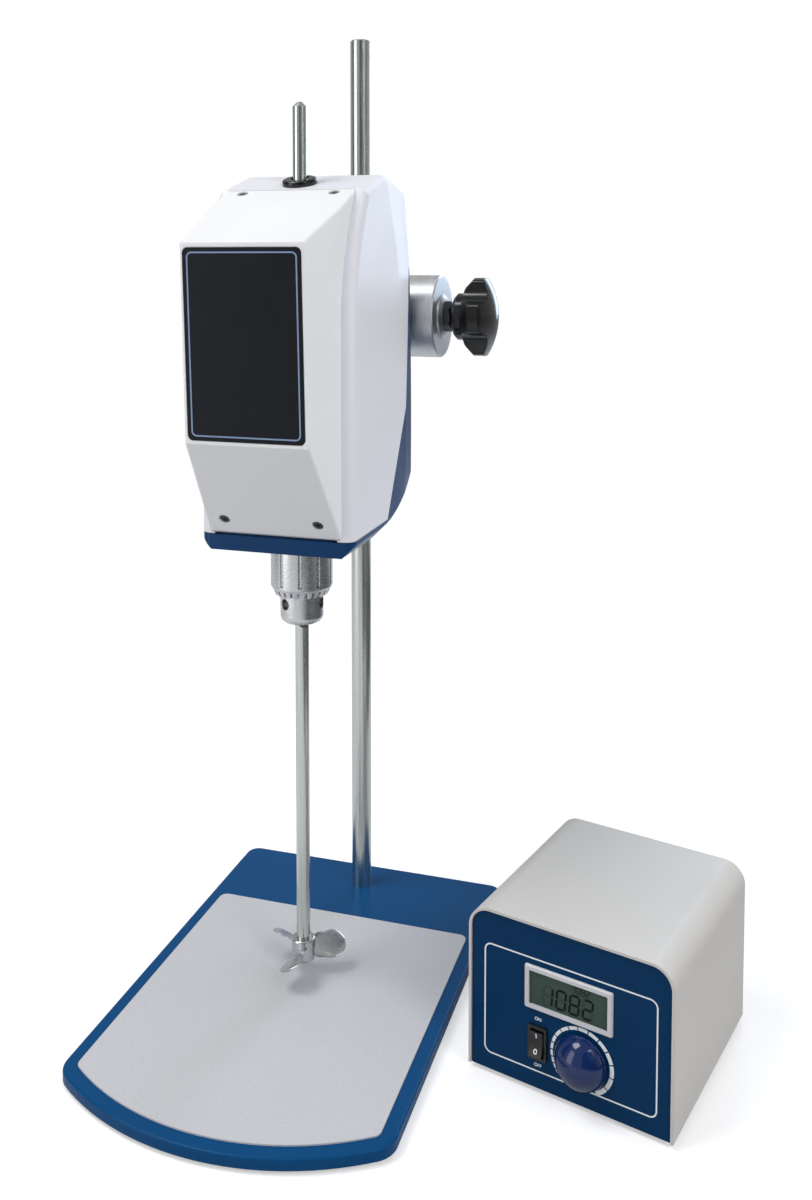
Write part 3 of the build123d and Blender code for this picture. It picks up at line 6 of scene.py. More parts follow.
import bmesh
import bpy
from mathutils import Matrix, Vector
from mathutils.bvhtree import BVHTree


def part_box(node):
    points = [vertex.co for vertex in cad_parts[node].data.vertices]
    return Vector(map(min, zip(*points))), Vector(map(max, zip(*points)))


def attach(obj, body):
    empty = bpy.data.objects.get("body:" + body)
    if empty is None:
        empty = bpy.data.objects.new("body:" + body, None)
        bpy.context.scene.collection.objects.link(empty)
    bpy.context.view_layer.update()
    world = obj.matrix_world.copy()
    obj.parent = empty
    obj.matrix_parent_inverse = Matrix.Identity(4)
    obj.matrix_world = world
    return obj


MM = 0.001
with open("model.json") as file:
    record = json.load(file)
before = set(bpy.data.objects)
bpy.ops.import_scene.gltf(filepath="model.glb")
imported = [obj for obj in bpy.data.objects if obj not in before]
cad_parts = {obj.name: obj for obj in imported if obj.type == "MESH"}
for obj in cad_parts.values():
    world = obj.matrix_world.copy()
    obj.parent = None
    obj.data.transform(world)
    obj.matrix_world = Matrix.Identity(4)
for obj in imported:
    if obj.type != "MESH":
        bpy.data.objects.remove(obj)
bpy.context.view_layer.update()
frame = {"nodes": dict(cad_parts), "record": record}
nodes = frame["nodes"]
slot_of = {part["node"]: part["material_slot"] for part in frame["record"]["subparts"]}

# ------------------------------------------------------------------ driving values
UNIT_TURN = math.radians(-15)          # the controller stands turned on the bench
FRONT_TILT = math.radians(2.716)       # the head's front face leans out towards its top
ROD_AXIS = (0, 0.106, 0)               # middle of the stand rod
CLAMP_AXIS = (0, 0.106, 0.3955)        # axis of the clamp screw, along X
CHUCK_AXIS = (0, 0, 0)                 # axis of spindle, chuck and shaft, along Z
DIAL_AXIS = (0.173, -0.054, 0.0269)    # a point on the axis of the dial's shaft, along Y
SCREW_PITCH = 1.5 * MM                 # thread of the clamp screw
PRINT_T = 0.04 * MM                    # thickness of printed marks

CAMERA_AT = (0.2534, -0.6277, 0.4316)
CAMERA_AZIMUTH = math.radians(17.41)
CAMERA_PITCH = math.radians(3.5)
CAMERA_LENS = 35.25
CAMERA_SENSOR = 36
CAMERA_SHIFT = (0.0096, -0.2231)
CAMERA_CLIP = (0.01, 50)

WORLD_LIGHT = 0.42                     # level of the even light; the backdrop itself is white
FLOOR_SIZE = 30
FLOOR_MIDDLE = (0.05, 0, 0)
FLOOR_ROUGHNESS = 0.9
FLOOR_LIFT = 0.42                      # added white where the floor is seen
FLOOR_PAPER = (222, 222, 224)          # colour of the floor as it is seen
FLOOR_BOUNCE = (168, 168, 170)         # its colour for the light that it throws back up
FLOOR_FADE = (0.32, 0.9)               # distance over which the floor turns into backdrop

WHITE = (1, 1, 1)
COOL_WHITE = (0.62, 0.78, 1)
# name, place, target, size, power in watts, tint, share in reflections, share on matt surfaces
LAMPS = (
    ("key", (-0.85, -0.5, 2.15), (0, 0, 0.25), (0.9, 0.9), 20, WHITE, 1, 1),
    ("fill", (1.3, -1.0, 1.4), (0.05, 0, 0.25), (0.6, 1.2), 10.5, WHITE, 0.5, 1),
    ("side", (1.8, -0.1, 0.5), (0.05, 0, 0.25), (0.6, 0.9), 6, WHITE, 0.2, 1),
    ("strip", (-0.8, -0.85, 0.5), (0, 0, 0.35), (0.5, 1.1), 4, WHITE, 1, 0.05),
    ("cool", (0.35, 1.6, 0.9), (0.05, 0, 0.3), (0.5, 1.2), 8, COOL_WHITE, 0.15, 1),
)
# name, place, target and size of the cards that polished metal reflects
CARD_GREY = (70, 76, 76)
DARK_CARDS = (
    ("card_right", (1.0, 0.1, 0.6), (0, 0.05, 0.6), (0.6, 1.2)),
    ("card_front", (0.57, -0.76, 0.6), (0, 0.05, 0.6), (0.9, 1.2)),
    ("card_left", (-1.0, -0.15, 0.6), (0, 0.05, 0.6), (0.35, 1.2)),
    ("card_floor", (0.75, 0.1, 0.002), (0.75, 0.1, 1), (0.9, 1.4)),
)


# ------------------------------------------------------------------ colours and nodes
def srgb(red, green, blue):
    """An 8-bit display colour as linear RGBA."""
    def linear(value):
        value /= 255
        return value / 12.92 if value <= 0.04045 else ((value + 0.055) / 1.055) ** 2.4
    return linear(red), linear(green), linear(blue), 1


def new_material(name):
    """An empty material with its node tree and its shader."""
    material = bpy.data.materials.new(name)
    material.use_nodes = True
    tree = material.node_tree
    shader = tree.nodes["Principled BSDF"]
    return material, tree, shader


def add(tree, kind, **settings):
    """A new node with its settings."""
    node = tree.nodes.new(kind)
    for key, value in settings.items():
        setattr(node, key, value)
    return node


def math_node(tree, operation, first, second=None):
    """One sum, product or the like of numbers and outputs of nodes."""
    node = add(tree, "ShaderNodeMath", operation=operation)
    for socket, value in zip(node.inputs, (first, second)):
        if value is None:
            continue
        if isinstance(value, (int, float)):
            socket.default_value = value
        else:
            tree.links.new(value, socket)
    return node.outputs[0]


def weighted(tree, first, second, first_share, second_share):
    """The sum of two patterns, each with its share."""
    shares = [math_node(tree, "MULTIPLY", *pair) for pair in ((first, first_share), (second, second_share))]
    return math_node(tree, "ADD", *shares)


def object_coords(tree, origin=(0, 0, 0), stretch=(1, 1, 1)):
    """Coordinates of the shared frame about an origin, stretched along each axis."""
    coords = add(tree, "ShaderNodeTexCoord")
    mapping = add(tree, "ShaderNodeMapping")
    mapping.vector_type = "TEXTURE"
    mapping.inputs["Location"].default_value = origin
    mapping.inputs["Scale"].default_value = stretch
    tree.links.new(coords.outputs["Object"], mapping.inputs["Vector"])
    return mapping.outputs["Vector"]


def noise(tree, vector, scale, detail=3.0, roughness=0.55):
    """A cloudy 0 to 1 pattern, its scale in features per metre."""
    node = add(tree, "ShaderNodeTexNoise")
    node.inputs["Scale"].default_value = scale
    node.inputs["Detail"].default_value = detail
    node.inputs["Roughness"].default_value = roughness
    tree.links.new(vector, node.inputs["Vector"])
    return node.outputs["Fac"]


def spread(tree, value, low, high, start=0.3, end=0.7):
    """A 0 to 1 pattern spread over the range low to high."""
    node = add(tree, "ShaderNodeMapRange")
    for key, number in (("From Min", start), ("From Max", end), ("To Min", low), ("To Max", high)):
        node.inputs[key].default_value = number
    tree.links.new(value, node.inputs["Value"])
    return node.outputs["Result"]


def scaled(colour, factor):
    """The colour made darker or lighter, up to full white."""
    return tuple(min(1, c * factor) for c in colour[:3]) + (1,)


def blend_colour(tree, factor, first, second):
    """A mix of two colours, each a constant or the output of a node."""
    node = add(tree, "ShaderNodeMix", data_type="RGBA")
    colour_a, colour_b = [socket for socket in node.inputs if socket.type == "RGBA"]
    for socket, value in ((colour_a, first), (colour_b, second)):
        if isinstance(value, tuple):
            socket.default_value = value
        else:
            tree.links.new(value, socket)
    tree.links.new(factor, node.inputs["Factor"])
    return next(socket for socket in node.outputs if socket.type == "RGBA")


def tone(tree, colour, pattern, depth):
    """The colour darkened and lightened a little by a pattern."""
    return blend_colour(tree, pattern, scaled(colour, 1 - depth), scaled(colour, 1 + depth))


def bump(tree, shader, height, distance, strength=1.0, edge=0.0):
    """Relief of the surface; edge is the radius of worn or moulded corners."""
    node = add(tree, "ShaderNodeBump")
    node.inputs["Distance"].default_value = distance
    node.inputs["Strength"].default_value = strength
    tree.links.new(height, node.inputs["Height"])
    tree.links.new(node.outputs["Normal"], shader.inputs["Normal"])
    if edge:
        corner = add(tree, "ShaderNodeBevel", samples=6)
        corner.inputs["Radius"].default_value = edge
        tree.links.new(corner.outputs["Normal"], node.inputs["Normal"])


def painted_crevice_shade(tree, colour, reach, depth):
    """The colour with painted shade: darker in grooves and inner corners narrower than the reach."""
    closed, open_air = 0.35, 0.9
    node = add(tree, "ShaderNodeAmbientOcclusion", samples=6, only_local=True)
    node.inputs["Distance"].default_value = reach
    shade = spread(tree, node.outputs["AO"], depth, 0, closed, open_air)
    # painted shade: hollows turn towards near-black, standing in for the shade that falls there
    return blend_colour(tree, shade, colour, srgb(28, 30, 31))


# ------------------------------------------------------------------ material families
def moulded(name, colour, roughness, grain=0.5, depth=0.02, specular=0.5, edge=0.0):
    """Injection-moulded plastic: a fine spark-eroded grain and a slow drift of tone."""
    drift_scale, grain_scale, sheen_scale = 14, 2600, 60
    sheen_swing, grain_height = 0.04, 0.02 * MM
    material, tree, shader = new_material(name)
    coords = object_coords(tree)
    slow = spread(tree, noise(tree, coords, drift_scale), 0, 1)
    tree.links.new(tone(tree, colour, slow, depth), shader.inputs["Base Color"])
    fine = noise(tree, coords, grain_scale, detail=2)
    sheen = spread(tree, noise(tree, coords, sheen_scale), roughness - sheen_swing, roughness + sheen_swing)
    tree.links.new(sheen, shader.inputs["Roughness"])
    shader.inputs["Specular IOR Level"].default_value = specular
    bump(tree, shader, fine, grain_height, grain, edge)
    return material


def painted(name, colour, roughness, peel=0.5, depth=0.03, speckle=0.0, specular=0.5, edge=0.0):
    """Stoved paint on sheet or plate: orange peel and a faint speckle of darker dots."""
    drift_scale, dot_scale, sheen_scale, peel_scale = 9, 1700, 35, 900
    dot_tone, sheen_swing, peel_height = 0.55, 0.05, 0.05 * MM
    material, tree, shader = new_material(name)
    coords = object_coords(tree)
    slow = spread(tree, noise(tree, coords, drift_scale), 0, 1)
    base = tone(tree, colour, slow, depth)
    if speckle:
        dots = spread(tree, noise(tree, coords, dot_scale, detail=1), 0, 1, 0.35, 0.65)
        base = blend_colour(tree, math_node(tree, "MULTIPLY", dots, speckle), base, scaled(colour, dot_tone))
    tree.links.new(base, shader.inputs["Base Color"])
    sheen = spread(tree, noise(tree, coords, sheen_scale), roughness - sheen_swing, roughness + sheen_swing)
    tree.links.new(sheen, shader.inputs["Roughness"])
    shader.inputs["Specular IOR Level"].default_value = specular
    bump(tree, shader, noise(tree, coords, peel_scale, detail=2), peel_height, peel, edge)
    return material


def drawn_metal(name, colour, roughness, depth=0.12, grain=0.35, origin=(0, 0, 0), along=2):
    """Drawn or ground bar: streaks run along one axis of the shared frame."""
    streak_scale, speck_scale, streak_length = 1500, 2200, 60.0
    smoother, rougher, streak_height = 0.06, 0.08, 0.015 * MM
    material, tree, shader = new_material(name)
    stretch = [1.0, 1.0, 1.0]
    stretch[along] = streak_length
    coords = object_coords(tree, origin, stretch)
    streaks = noise(tree, coords, streak_scale, detail=4)
    speck = noise(tree, object_coords(tree, origin), speck_scale, detail=2)
    mixed = weighted(tree, streaks, speck, 0.6, 0.4)
    tree.links.new(tone(tree, colour, spread(tree, mixed, 0, 1), depth), shader.inputs["Base Color"])
    tree.links.new(spread(tree, mixed, roughness - smoother, roughness + rougher), shader.inputs["Roughness"])
    shader.inputs["Metallic"].default_value = 1
    bump(tree, shader, mixed, streak_height, grain)
    return material


def turned_metal(name, colour, roughness, origin, axis, depth=0.12, grain=0.4):
    """Lathe-turned metal: fine rings round an axis of the shared frame, on sides and ends, and painted shade
    in its grooves.
    """
    ring_scale, speck_scale, angle_scale = 1400, 2400, 0.0012
    smoother, rougher, ring_height = 0.05, 0.09, 0.02 * MM
    # reach and strength of the painted shade in grooves and inner corners
    crevice_shade_reach, crevice_shade_depth = 1.6 * MM, 0.9
    material, tree, shader = new_material(name)
    coords = object_coords(tree, origin)
    parts = add(tree, "ShaderNodeSeparateXYZ")
    tree.links.new(coords, parts.inputs[0])
    across = [parts.outputs[i] for i in range(3) if i != axis]
    squares = [math_node(tree, "MULTIPLY", c, c) for c in across]
    radius = math_node(tree, "SQRT", math_node(tree, "ADD", *squares))
    angle = math_node(tree, "ARCTAN2", *across)
    rings = add(tree, "ShaderNodeCombineXYZ")
    tree.links.new(radius, rings.inputs[0])
    tree.links.new(math_node(tree, "MULTIPLY", angle, angle_scale), rings.inputs[1])
    tree.links.new(parts.outputs[axis], rings.inputs[2])
    lines = noise(tree, rings.outputs[0], ring_scale, detail=4)
    speck = noise(tree, coords, speck_scale, detail=2)
    mixed = weighted(tree, lines, speck, 0.7, 0.3)
    grained = tone(tree, colour, spread(tree, mixed, 0, 1), depth)
    # painted shade: the colour is darkened in grooves and inner corners
    tree.links.new(painted_crevice_shade(tree, grained, crevice_shade_reach, crevice_shade_depth), shader.inputs["Base Color"])
    tree.links.new(spread(tree, mixed, roughness - smoother, roughness + rougher), shader.inputs["Roughness"])
    shader.inputs["Metallic"].default_value = 1
    shader.inputs["Anisotropic"].default_value = 0.4
    bump(tree, shader, mixed, ring_height, grain)
    return material


def rubbery(name, colour, roughness=0.75):
    """Soft rubber: matt, blotchy and finely pitted."""
    blotch_scale, sheen_scale, pit_scale = 120, 400, 1500
    blotch_depth, sheen_swing, pit_height = 0.25, 0.1, 0.05 * MM
    material, tree, shader = new_material(name)
    coords = object_coords(tree)
    blotches = noise(tree, coords, blotch_scale)
    tree.links.new(tone(tree, colour, blotches, blotch_depth), shader.inputs["Base Color"])
    sheen = spread(tree, noise(tree, coords, sheen_scale), roughness - sheen_swing, roughness + sheen_swing)
    tree.links.new(sheen, shader.inputs["Roughness"])
    bump(tree, shader, noise(tree, coords, pit_scale, detail=2), pit_height, 0.6)
    return material


def circuit_board(name):
    """Solder mask with the faint ghost of copper tracks."""
    track_scale, track_width, track_height = 260, 0.06, 0.03 * MM
    material, tree, shader = new_material(name)
    coords = object_coords(tree)
    tracks = add(tree, "ShaderNodeTexBrick")
    tracks.inputs["Scale"].default_value = track_scale
    tracks.inputs["Mortar Size"].default_value = track_width
    tracks.inputs["Color1"].default_value = srgb(14, 78, 40)
    tracks.inputs["Color2"].default_value = srgb(18, 88, 46)
    tracks.inputs["Mortar"].default_value = srgb(36, 118, 66)
    tree.links.new(coords, tracks.inputs["Vector"])
    tree.links.new(tracks.outputs["Color"], shader.inputs["Base Color"])
    tree.links.new(spread(tree, noise(tree, coords, 300), 0.3, 0.45), shader.inputs["Roughness"])
    bump(tree, shader, tracks.outputs["Fac"], track_height, 0.5)
    return material


def threaded_screw(name):
    """Screw steel with a thread wound round the clamp axis, with painted shade in its roots and painted
    highlight on its crests.
    """
    thread_shade_depth, thread_height = 0.35, 0.9 * MM
    material, tree, shader = new_material(name)
    coords = object_coords(tree, CLAMP_AXIS)
    parts = add(tree, "ShaderNodeSeparateXYZ")
    tree.links.new(coords, parts.inputs[0])
    angle = math_node(tree, "ARCTAN2", parts.outputs[1], parts.outputs[2])
    turns = math_node(tree, "DIVIDE", angle, 2 * math.pi)
    pitches = math_node(tree, "DIVIDE", parts.outputs[0], SCREW_PITCH)
    saw = math_node(tree, "PINGPONG", math_node(tree, "ADD", pitches, turns), 0.5)
    # painted shade and highlight: darker in the thread's roots, lighter on its crests
    thread_shade_and_highlight = tone(tree, srgb(150, 152, 154), spread(tree, saw, 0, 1, 0, 0.5), thread_shade_depth)
    tree.links.new(thread_shade_and_highlight, shader.inputs["Base Color"])
    tree.links.new(spread(tree, noise(tree, coords, 900), 0.24, 0.38), shader.inputs["Roughness"])
    shader.inputs["Metallic"].default_value = 1
    bump(tree, shader, saw, thread_height, 0.9)
    return material


def display_glass(name):
    """Reflective liquid crystal: grey-green, a little darker towards the lower edge."""
    grain_scale, grain_depth, sheen_scale, gloss = 1200, 0.12, 90, 0.15
    material, tree, shader = new_material(name)
    low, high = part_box("lcd_glass")
    parts = add(tree, "ShaderNodeSeparateXYZ")
    coords = object_coords(tree)
    tree.links.new(coords, parts.inputs[0])
    rise = spread(tree, parts.outputs[2], 0, 1, low.z, high.z)
    shade = blend_colour(tree, rise, srgb(58, 76, 68), srgb(66, 84, 76))
    grain = spread(tree, noise(tree, coords, grain_scale, detail=1), 0, grain_depth)
    tree.links.new(blend_colour(tree, grain, shade, srgb(50, 62, 58)), shader.inputs["Base Color"])
    tree.links.new(spread(tree, noise(tree, coords, sheen_scale), 0.16, 0.24), shader.inputs["Roughness"])
    shader.inputs["Specular IOR Level"].default_value = gloss
    return material


def ink(name, colour, roughness=0.45, specular=0.3):
    """Screen-printing ink, slightly uneven."""
    blotch_scale, blotch_depth, sheen_scale, sheen_swing = 700, 0.06, 300, 0.05
    material, tree, shader = new_material(name)
    coords = object_coords(tree)
    blotches = noise(tree, coords, blotch_scale)
    tree.links.new(tone(tree, colour, blotches, blotch_depth), shader.inputs["Base Color"])
    sheen = spread(tree, noise(tree, coords, sheen_scale), roughness - sheen_swing, roughness + sheen_swing)
    tree.links.new(sheen, shader.inputs["Roughness"])
    shader.inputs["Specular IOR Level"].default_value = specular
    return material


MATERIALS = {
    "blue_enamel": painted("blue_enamel", srgb(0, 70, 120), 0.32, peel=0.35, specular=0.12, edge=0.8 * MM),
    "grey_mat": painted(
        "grey_mat", srgb(200, 201, 205), 0.42, peel=0.8, depth=0.02, speckle=0.28, specular=0.3
    ),
    "soft_rubber": rubbery("soft_rubber", srgb(30, 30, 32)),
    "rod_steel": drawn_metal("rod_steel", srgb(206, 210, 206), 0.22, origin=ROD_AXIS),
    "screw_steel": drawn_metal("screw_steel", srgb(176, 178, 180), 0.32, along=0),
    "dark_steel": drawn_metal("dark_steel", srgb(74, 76, 80), 0.36),
    "boss_aluminium": turned_metal("boss_aluminium", srgb(212, 214, 216), 0.38, CLAMP_AXIS, 0, depth=0.18),
    "bearing_plastic": moulded("bearing_plastic", srgb(52, 52, 54), 0.5),
    "black_gloss": moulded("black_gloss", srgb(9, 12, 13), 0.16, grain=0.08, depth=0.1, edge=0.8 * MM),
    "shell_white": moulded("shell_white", srgb(232, 233, 240), 0.42, grain=0.35, edge=1.2 * MM),
    "cover_white": moulded("cover_white", srgb(240, 241, 243), 0.42, grain=0.35, edge=1.2 * MM),
    "chassis_blue": painted("chassis_blue", srgb(2, 56, 102), 0.32, peel=0.25, specular=0.2, edge=0.8 * MM),
    "label_dark": moulded("label_dark", srgb(27, 30, 35), 0.34, grain=0.2, depth=0.02, specular=0.12),
    "motor_black": painted("motor_black", srgb(34, 34, 36), 0.4),
    "board_green": circuit_board("board_green"),
    "socket_black": moulded("socket_black", srgb(20, 20, 22), 0.36, grain=0.5, depth=0.1),
    "chuck_steel": turned_metal("chuck_steel", srgb(208, 209, 210), 0.24, CHUCK_AXIS, 2),
    "propeller_steel": drawn_metal("propeller_steel", srgb(196, 198, 200), 0.22, along=0),
    "case_grey": painted(
        "case_grey", srgb(207, 205, 202), 0.5,
        peel=0.9, depth=0.025, speckle=0.06, specular=0.3, edge=0.5 * MM
    ),
    "fascia_blue": painted("fascia_blue", srgb(0, 50, 90), 0.4, peel=0.1, depth=0.04, specular=0.1),
    "bezel_silver": moulded("bezel_silver", srgb(206, 206, 212), 0.3),
    "lcd_glass": display_glass("lcd_glass"),
    "knob_blue": moulded("knob_blue", srgb(10, 38, 88), 0.12, grain=0.05, depth=0.08),
    "brass_shaft": turned_metal("brass_shaft", srgb(214, 178, 96), 0.25, DIAL_AXIS, 1),
    "core_steel": painted("core_steel", srgb(90, 78, 64), 0.5),
}
for node, slot in slot_of.items():
    surface = nodes[node].data.materials
    surface.clear()
    surface.append(MATERIALS[slot])
nodes["clamp_screw"].data.materials[0] = threaded_screw("clamp_thread")


# ------------------------------------------------------------------ printed marks
def plane_of(node, normal, up=(0, 0, 1)):
    """A frame on the outermost face of a node towards a normal: X right, Y up, Z out of the face."""
    flat = 0.02 * MM
    z = Vector(normal).normalized()
    y = (Vector(up) - z * z.dot(Vector(up))).normalized()
    x = y.cross(z)
    points = [v.co for v in nodes[node].data.vertices]
    reach = max(p.dot(z) for p in points)
    face = [p for p in points if reach - p.dot(z) < flat]
    middle = z * reach
    for axis in (x, y):
        spans = [p.dot(axis) for p in face]
        middle += axis * (min(spans) + max(spans)) / 2
    turn = Matrix((x, y, z)).transposed().to_4x4()
    return Matrix.Translation(middle) @ turn


def print_mark(name, rings, place, material, body, thickness=PRINT_T):
    """A flat mark from outlines in millimetres on a plane; a pair of equal rings makes a band."""
    mesh = bpy.data.meshes.new(name)
    work = bmesh.new()
    for ring in rings:
        outer, inner = ring if isinstance(ring, tuple) else (ring, None)
        shell = [work.verts.new((x * MM, y * MM, thickness)) for x, y in outer]
        if inner is None:
            work.faces.new(shell)
            continue
        core = [work.verts.new((x * MM, y * MM, thickness)) for x, y in inner]
        count = len(shell)
        for i in range(count):
            j = (i + 1) % count
            work.faces.new((shell[i], shell[j], core[j], core[i]))
    extruded = bmesh.ops.extrude_face_region(work, geom=work.faces[:])
    lowered = [v for v in extruded["geom"] if isinstance(v, bmesh.types.BMVert)]
    bmesh.ops.translate(work, verts=lowered, vec=(0, 0, -thickness))
    bmesh.ops.recalc_face_normals(work, faces=work.faces[:])
    work.to_mesh(mesh)
    work.free()
    mark = bpy.data.objects.new(name, mesh)
    bpy.context.collection.objects.link(mark)
    mark.matrix_world = place
    mesh.materials.append(material)
    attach(mark, body)


def rounded_ring(half_x, half_y, radius, steps=8):
    """Points of a rounded rectangle, anticlockwise."""
    points = []
    for corner in range(4):
        turn = math.pi / 2 * corner
        sign_x = 1 if corner in (0, 3) else -1
        sign_y = 1 if corner < 2 else -1
        for i in range(steps + 1):
            angle = turn + math.pi / 2 * i / steps
            points.append((
                sign_x * (half_x - radius) + radius * math.cos(angle),
                sign_y * (half_y - radius) + radius * math.sin(angle),
            ))
    return points


def outline(half_x, half_y, radius, width):
    """A rounded rectangular band: its outer and its inner ring."""
    return rounded_ring(half_x, half_y, radius), rounded_ring(half_x - width, half_y - width, radius - width)


def moved(points, dx, dy):
    """The points shifted sideways and up."""
    return [(x + dx, y + dy) for x, y in points]


def arc_band(inner, outer, start, end, steps=6):
    """A piece of a ring between two angles in degrees."""
    angles = [math.radians(start + (end - start) * i / steps) for i in range(steps + 1)]
    far = [(outer * math.cos(a), outer * math.sin(a)) for a in angles]
    near = [(inner * math.cos(a), inner * math.sin(a)) for a in reversed(angles)]
    return far + near


def words(name, text, place, height, material, body):
    """Generic panel lettering, centred on a plane; the height is that of a capital."""
    capital_share, bolder = 0.7, 0.05 * MM
    curve = bpy.data.curves.new(name, "FONT")
    curve.body = text
    curve.size = height * MM / capital_share
    curve.align_x, curve.align_y = "CENTER", "CENTER"
    curve.offset = bolder
    curve.extrude = PRINT_T / 2
    item = bpy.data.objects.new(name, curve)
    bpy.context.collection.objects.link(item)
    item.matrix_world = place @ Matrix.Translation((0, 0, PRINT_T / 2))
    curve.materials.append(material)
    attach(item, body)


FRONT_NORMAL = (0, -math.cos(FRONT_TILT), -math.sin(FRONT_TILT))
UNIT_NORMAL = (math.sin(UNIT_TURN), -math.cos(UNIT_TURN), 0)
white_ink = ink("white_ink", srgb(238, 241, 244))
pale_ink = ink("pale_blue_ink", srgb(134, 156, 190))


def dress_label():
    """The pale outline printed round the head's dark panel."""
    place = plane_of("label_panel", FRONT_NORMAL)
    low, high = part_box("label_panel")
    half_x = (high.x - low.x) / 2 / MM
    half_y = (high.z - low.z) / 2 / MM / math.cos(FRONT_TILT)
    inset, width, radius = 2.2, 0.8, 3    # millimetres
    ring = outline(half_x - inset, half_y - inset, radius, width)
    print_mark("label_outline", [ring], place, pale_ink, "head")


# the controller's front, in millimetres from the middle of its lower edge
UNIT_AT = (0.180, 0.004, 0)               # the controller's middle on the bench, in metres
UNIT_FRONT = 58                           # the fascia's face, forward of the controller's middle
FRAME_EDGES = (-47.5, 48, 11.8, 72.2)     # left, right, low, high of the printed frame
FRAME_RADIUS, FRAME_WIDTH = 4.2, 0.8
DIAL = (8.2, 26.9)
SCALE_R = 17.3                            # outer radius of the dial's scale
SCALE_START, SCALE_SPAN = 240, 302        # degrees, clockwise from the first bar
SCALE_BARS = 20
SCALE_GROWTH = 1.75                       # the bars grow longer along the scale
SCALE_GAP = 1.1                           # degrees on each side of a bar, less on short bars
SCALE_THIN, SCALE_THICKER = 0.55, 1.75    # width of the first bar, and what the last one has more
ROCKER = (-16.2, 27.8)
WORD_RISE, WORD_HEIGHT = 12.4, 1.7        # ON and OFF above and below the switch


def unit_place(x, z, forward=UNIT_FRONT):
    """A frame on the controller's front: X right, Y up, Z out of the face."""
    at_unit = Matrix.Translation(UNIT_AT) @ Matrix.Rotation(UNIT_TURN, 4, "Z")
    on_front = Matrix.Translation((x * MM, -forward * MM, z * MM))
    return at_unit @ on_front @ Matrix.Rotation(math.pi / 2, 4, "X")


def dress_fascia():
    """The printed frame, the dial's scale and the two words at the switch."""
    left, right, low, high = FRAME_EDGES
    middle = unit_place((left + right) / 2, (low + high) / 2)
    ring = outline((right - left) / 2, (high - low) / 2, FRAME_RADIUS, FRAME_WIDTH)
    print_mark("fascia_outline", [ring], middle, white_ink, "stand")
    bands = []
    for i in range(SCALE_BARS):
        near, far = [(step / SCALE_BARS) ** SCALE_GROWTH * SCALE_SPAN for step in (i, i + 1)]
        gap = min(SCALE_GAP, (far - near) * 0.3)
        thick = SCALE_THIN + SCALE_THICKER * (i / (SCALE_BARS - 1)) ** 0.8
        bands.append(arc_band(SCALE_R - thick, SCALE_R, SCALE_START - near - gap, SCALE_START - far + gap))
    print_mark("dial_scale", bands, unit_place(*DIAL), white_ink, "stand")
    for name, text, rise in (("word_on", "ON", WORD_RISE), ("word_off", "OFF", -WORD_RISE)):
        place = unit_place(ROCKER[0], ROCKER[1] + rise)
        words(name, text, place, WORD_HEIGHT, white_ink, "stand")


# seven-segment figures: each segment runs between two corners of a 1 x 2 cell
CELL = {"a": ((0, 2), (1, 2)), "b": ((1, 2), (1, 1)), "c": ((1, 1), (1, 0)), "d": ((1, 0), (0, 0)),
        "e": ((0, 0), (0, 1)), "f": ((0, 1), (0, 2)), "g": ((0, 1), (1, 1))}
FIGURES = {"0": "abcdef", "1": "bc", "2": "abged", "8": "abcdefg"}
SEGMENT_GAP = 0.12                        # between the tips of two segments
CELL_STEP = 1.5                           # from figure to figure, in cells
# left edge, lower edge, size of a cell and width of a segment, from the middle of the glass
LARGE_FIGURES = (-14.2, -7, 4.9, 1.3)
SMALL_FIGURES = (1.6, 4.4, 1.8, 0.5)
SPEED = "1082"


def segment(start, end, width, gap):
    """A six-sided bar with pointed ends between two corners of a cell."""
    a, b = Vector(start), Vector(end)
    along = (b - a).normalized()
    side = Vector((-along.y, along.x)) * width / 2
    a, b = a + along * gap, b - along * gap
    tip = along * width / 2
    return [tuple(p) for p in (a, a + tip + side, b - tip + side, b, b - tip - side, a + tip - side)]


def figures(text, x, y, cell, width, slant=0.08):
    """Outlines of the lit and of the unlit segments of a number."""
    lit, unlit = [], []
    for place, figure in enumerate(text):
        shift = x + place * cell * CELL_STEP
        for key, (start, end) in CELL.items():
            corners = [(px * cell + py * cell * slant, py * cell) for px, py in (start, end)]
            bar = moved(segment(*corners, width, SEGMENT_GAP), shift, y)
            (lit if key in FIGURES[figure] else unlit).append(bar)
    return lit, unlit


def dress_display():
    """The speed on the display, large and small, with the ghosts of the unlit segments."""
    place = plane_of("lcd_glass", UNIT_NORMAL)
    lit, unlit = figures(SPEED, *LARGE_FIGURES)
    small_lit, small_unlit = figures(SPEED, *SMALL_FIGURES)
    dark = ink("lcd_segment", srgb(16, 21, 21), 0.4, 0.1)
    ghost = ink("lcd_ghost", srgb(54, 68, 63), 0.4, 0.1)
    print_mark("lcd_figures", lit + small_lit, place, dark, "stand")
    print_mark("lcd_unlit", unlit + small_unlit, place, ghost, "stand", PRINT_T / 2)


def dress_rocker():
    """I and O printed on the switch's button, which they ride."""
    half_x, half_y, mark_t, well_outside = 0.3, 1.3, 0.1 * MM, 10
    button = nodes["rocker_button"].data
    corners = [v.co for v in button.vertices]
    faces = BVHTree.FromPolygons(corners, [tuple(f.vertices) for f in button.polygons])
    stroke = [(-half_x, -half_y), (half_x, -half_y), (half_x, half_y), (-half_x, half_y)]
    circle = rounded_ring(1.0, half_y, 0.99), rounded_ring(0.5, 0.8, 0.49)
    for name, ring, rise in (("rocker_on", stroke, 4.6), ("rocker_off", circle, -3.2)):
        start = unit_place(ROCKER[0], ROCKER[1] + rise, UNIT_FRONT + well_outside)
        spot, normal, _, _ = faces.ray_cast(start.translation, -Vector(UNIT_NORMAL))
        x = Vector((0, 0, 1)).cross(normal).normalized()
        turn = Matrix((x, normal.cross(x), normal)).transposed().to_4x4()
        print_mark(name, [ring], Matrix.Translation(spot) @ turn, white_ink, "rocker", mark_t)


dress_label()
dress_fascia()
dress_display()
dress_rocker()


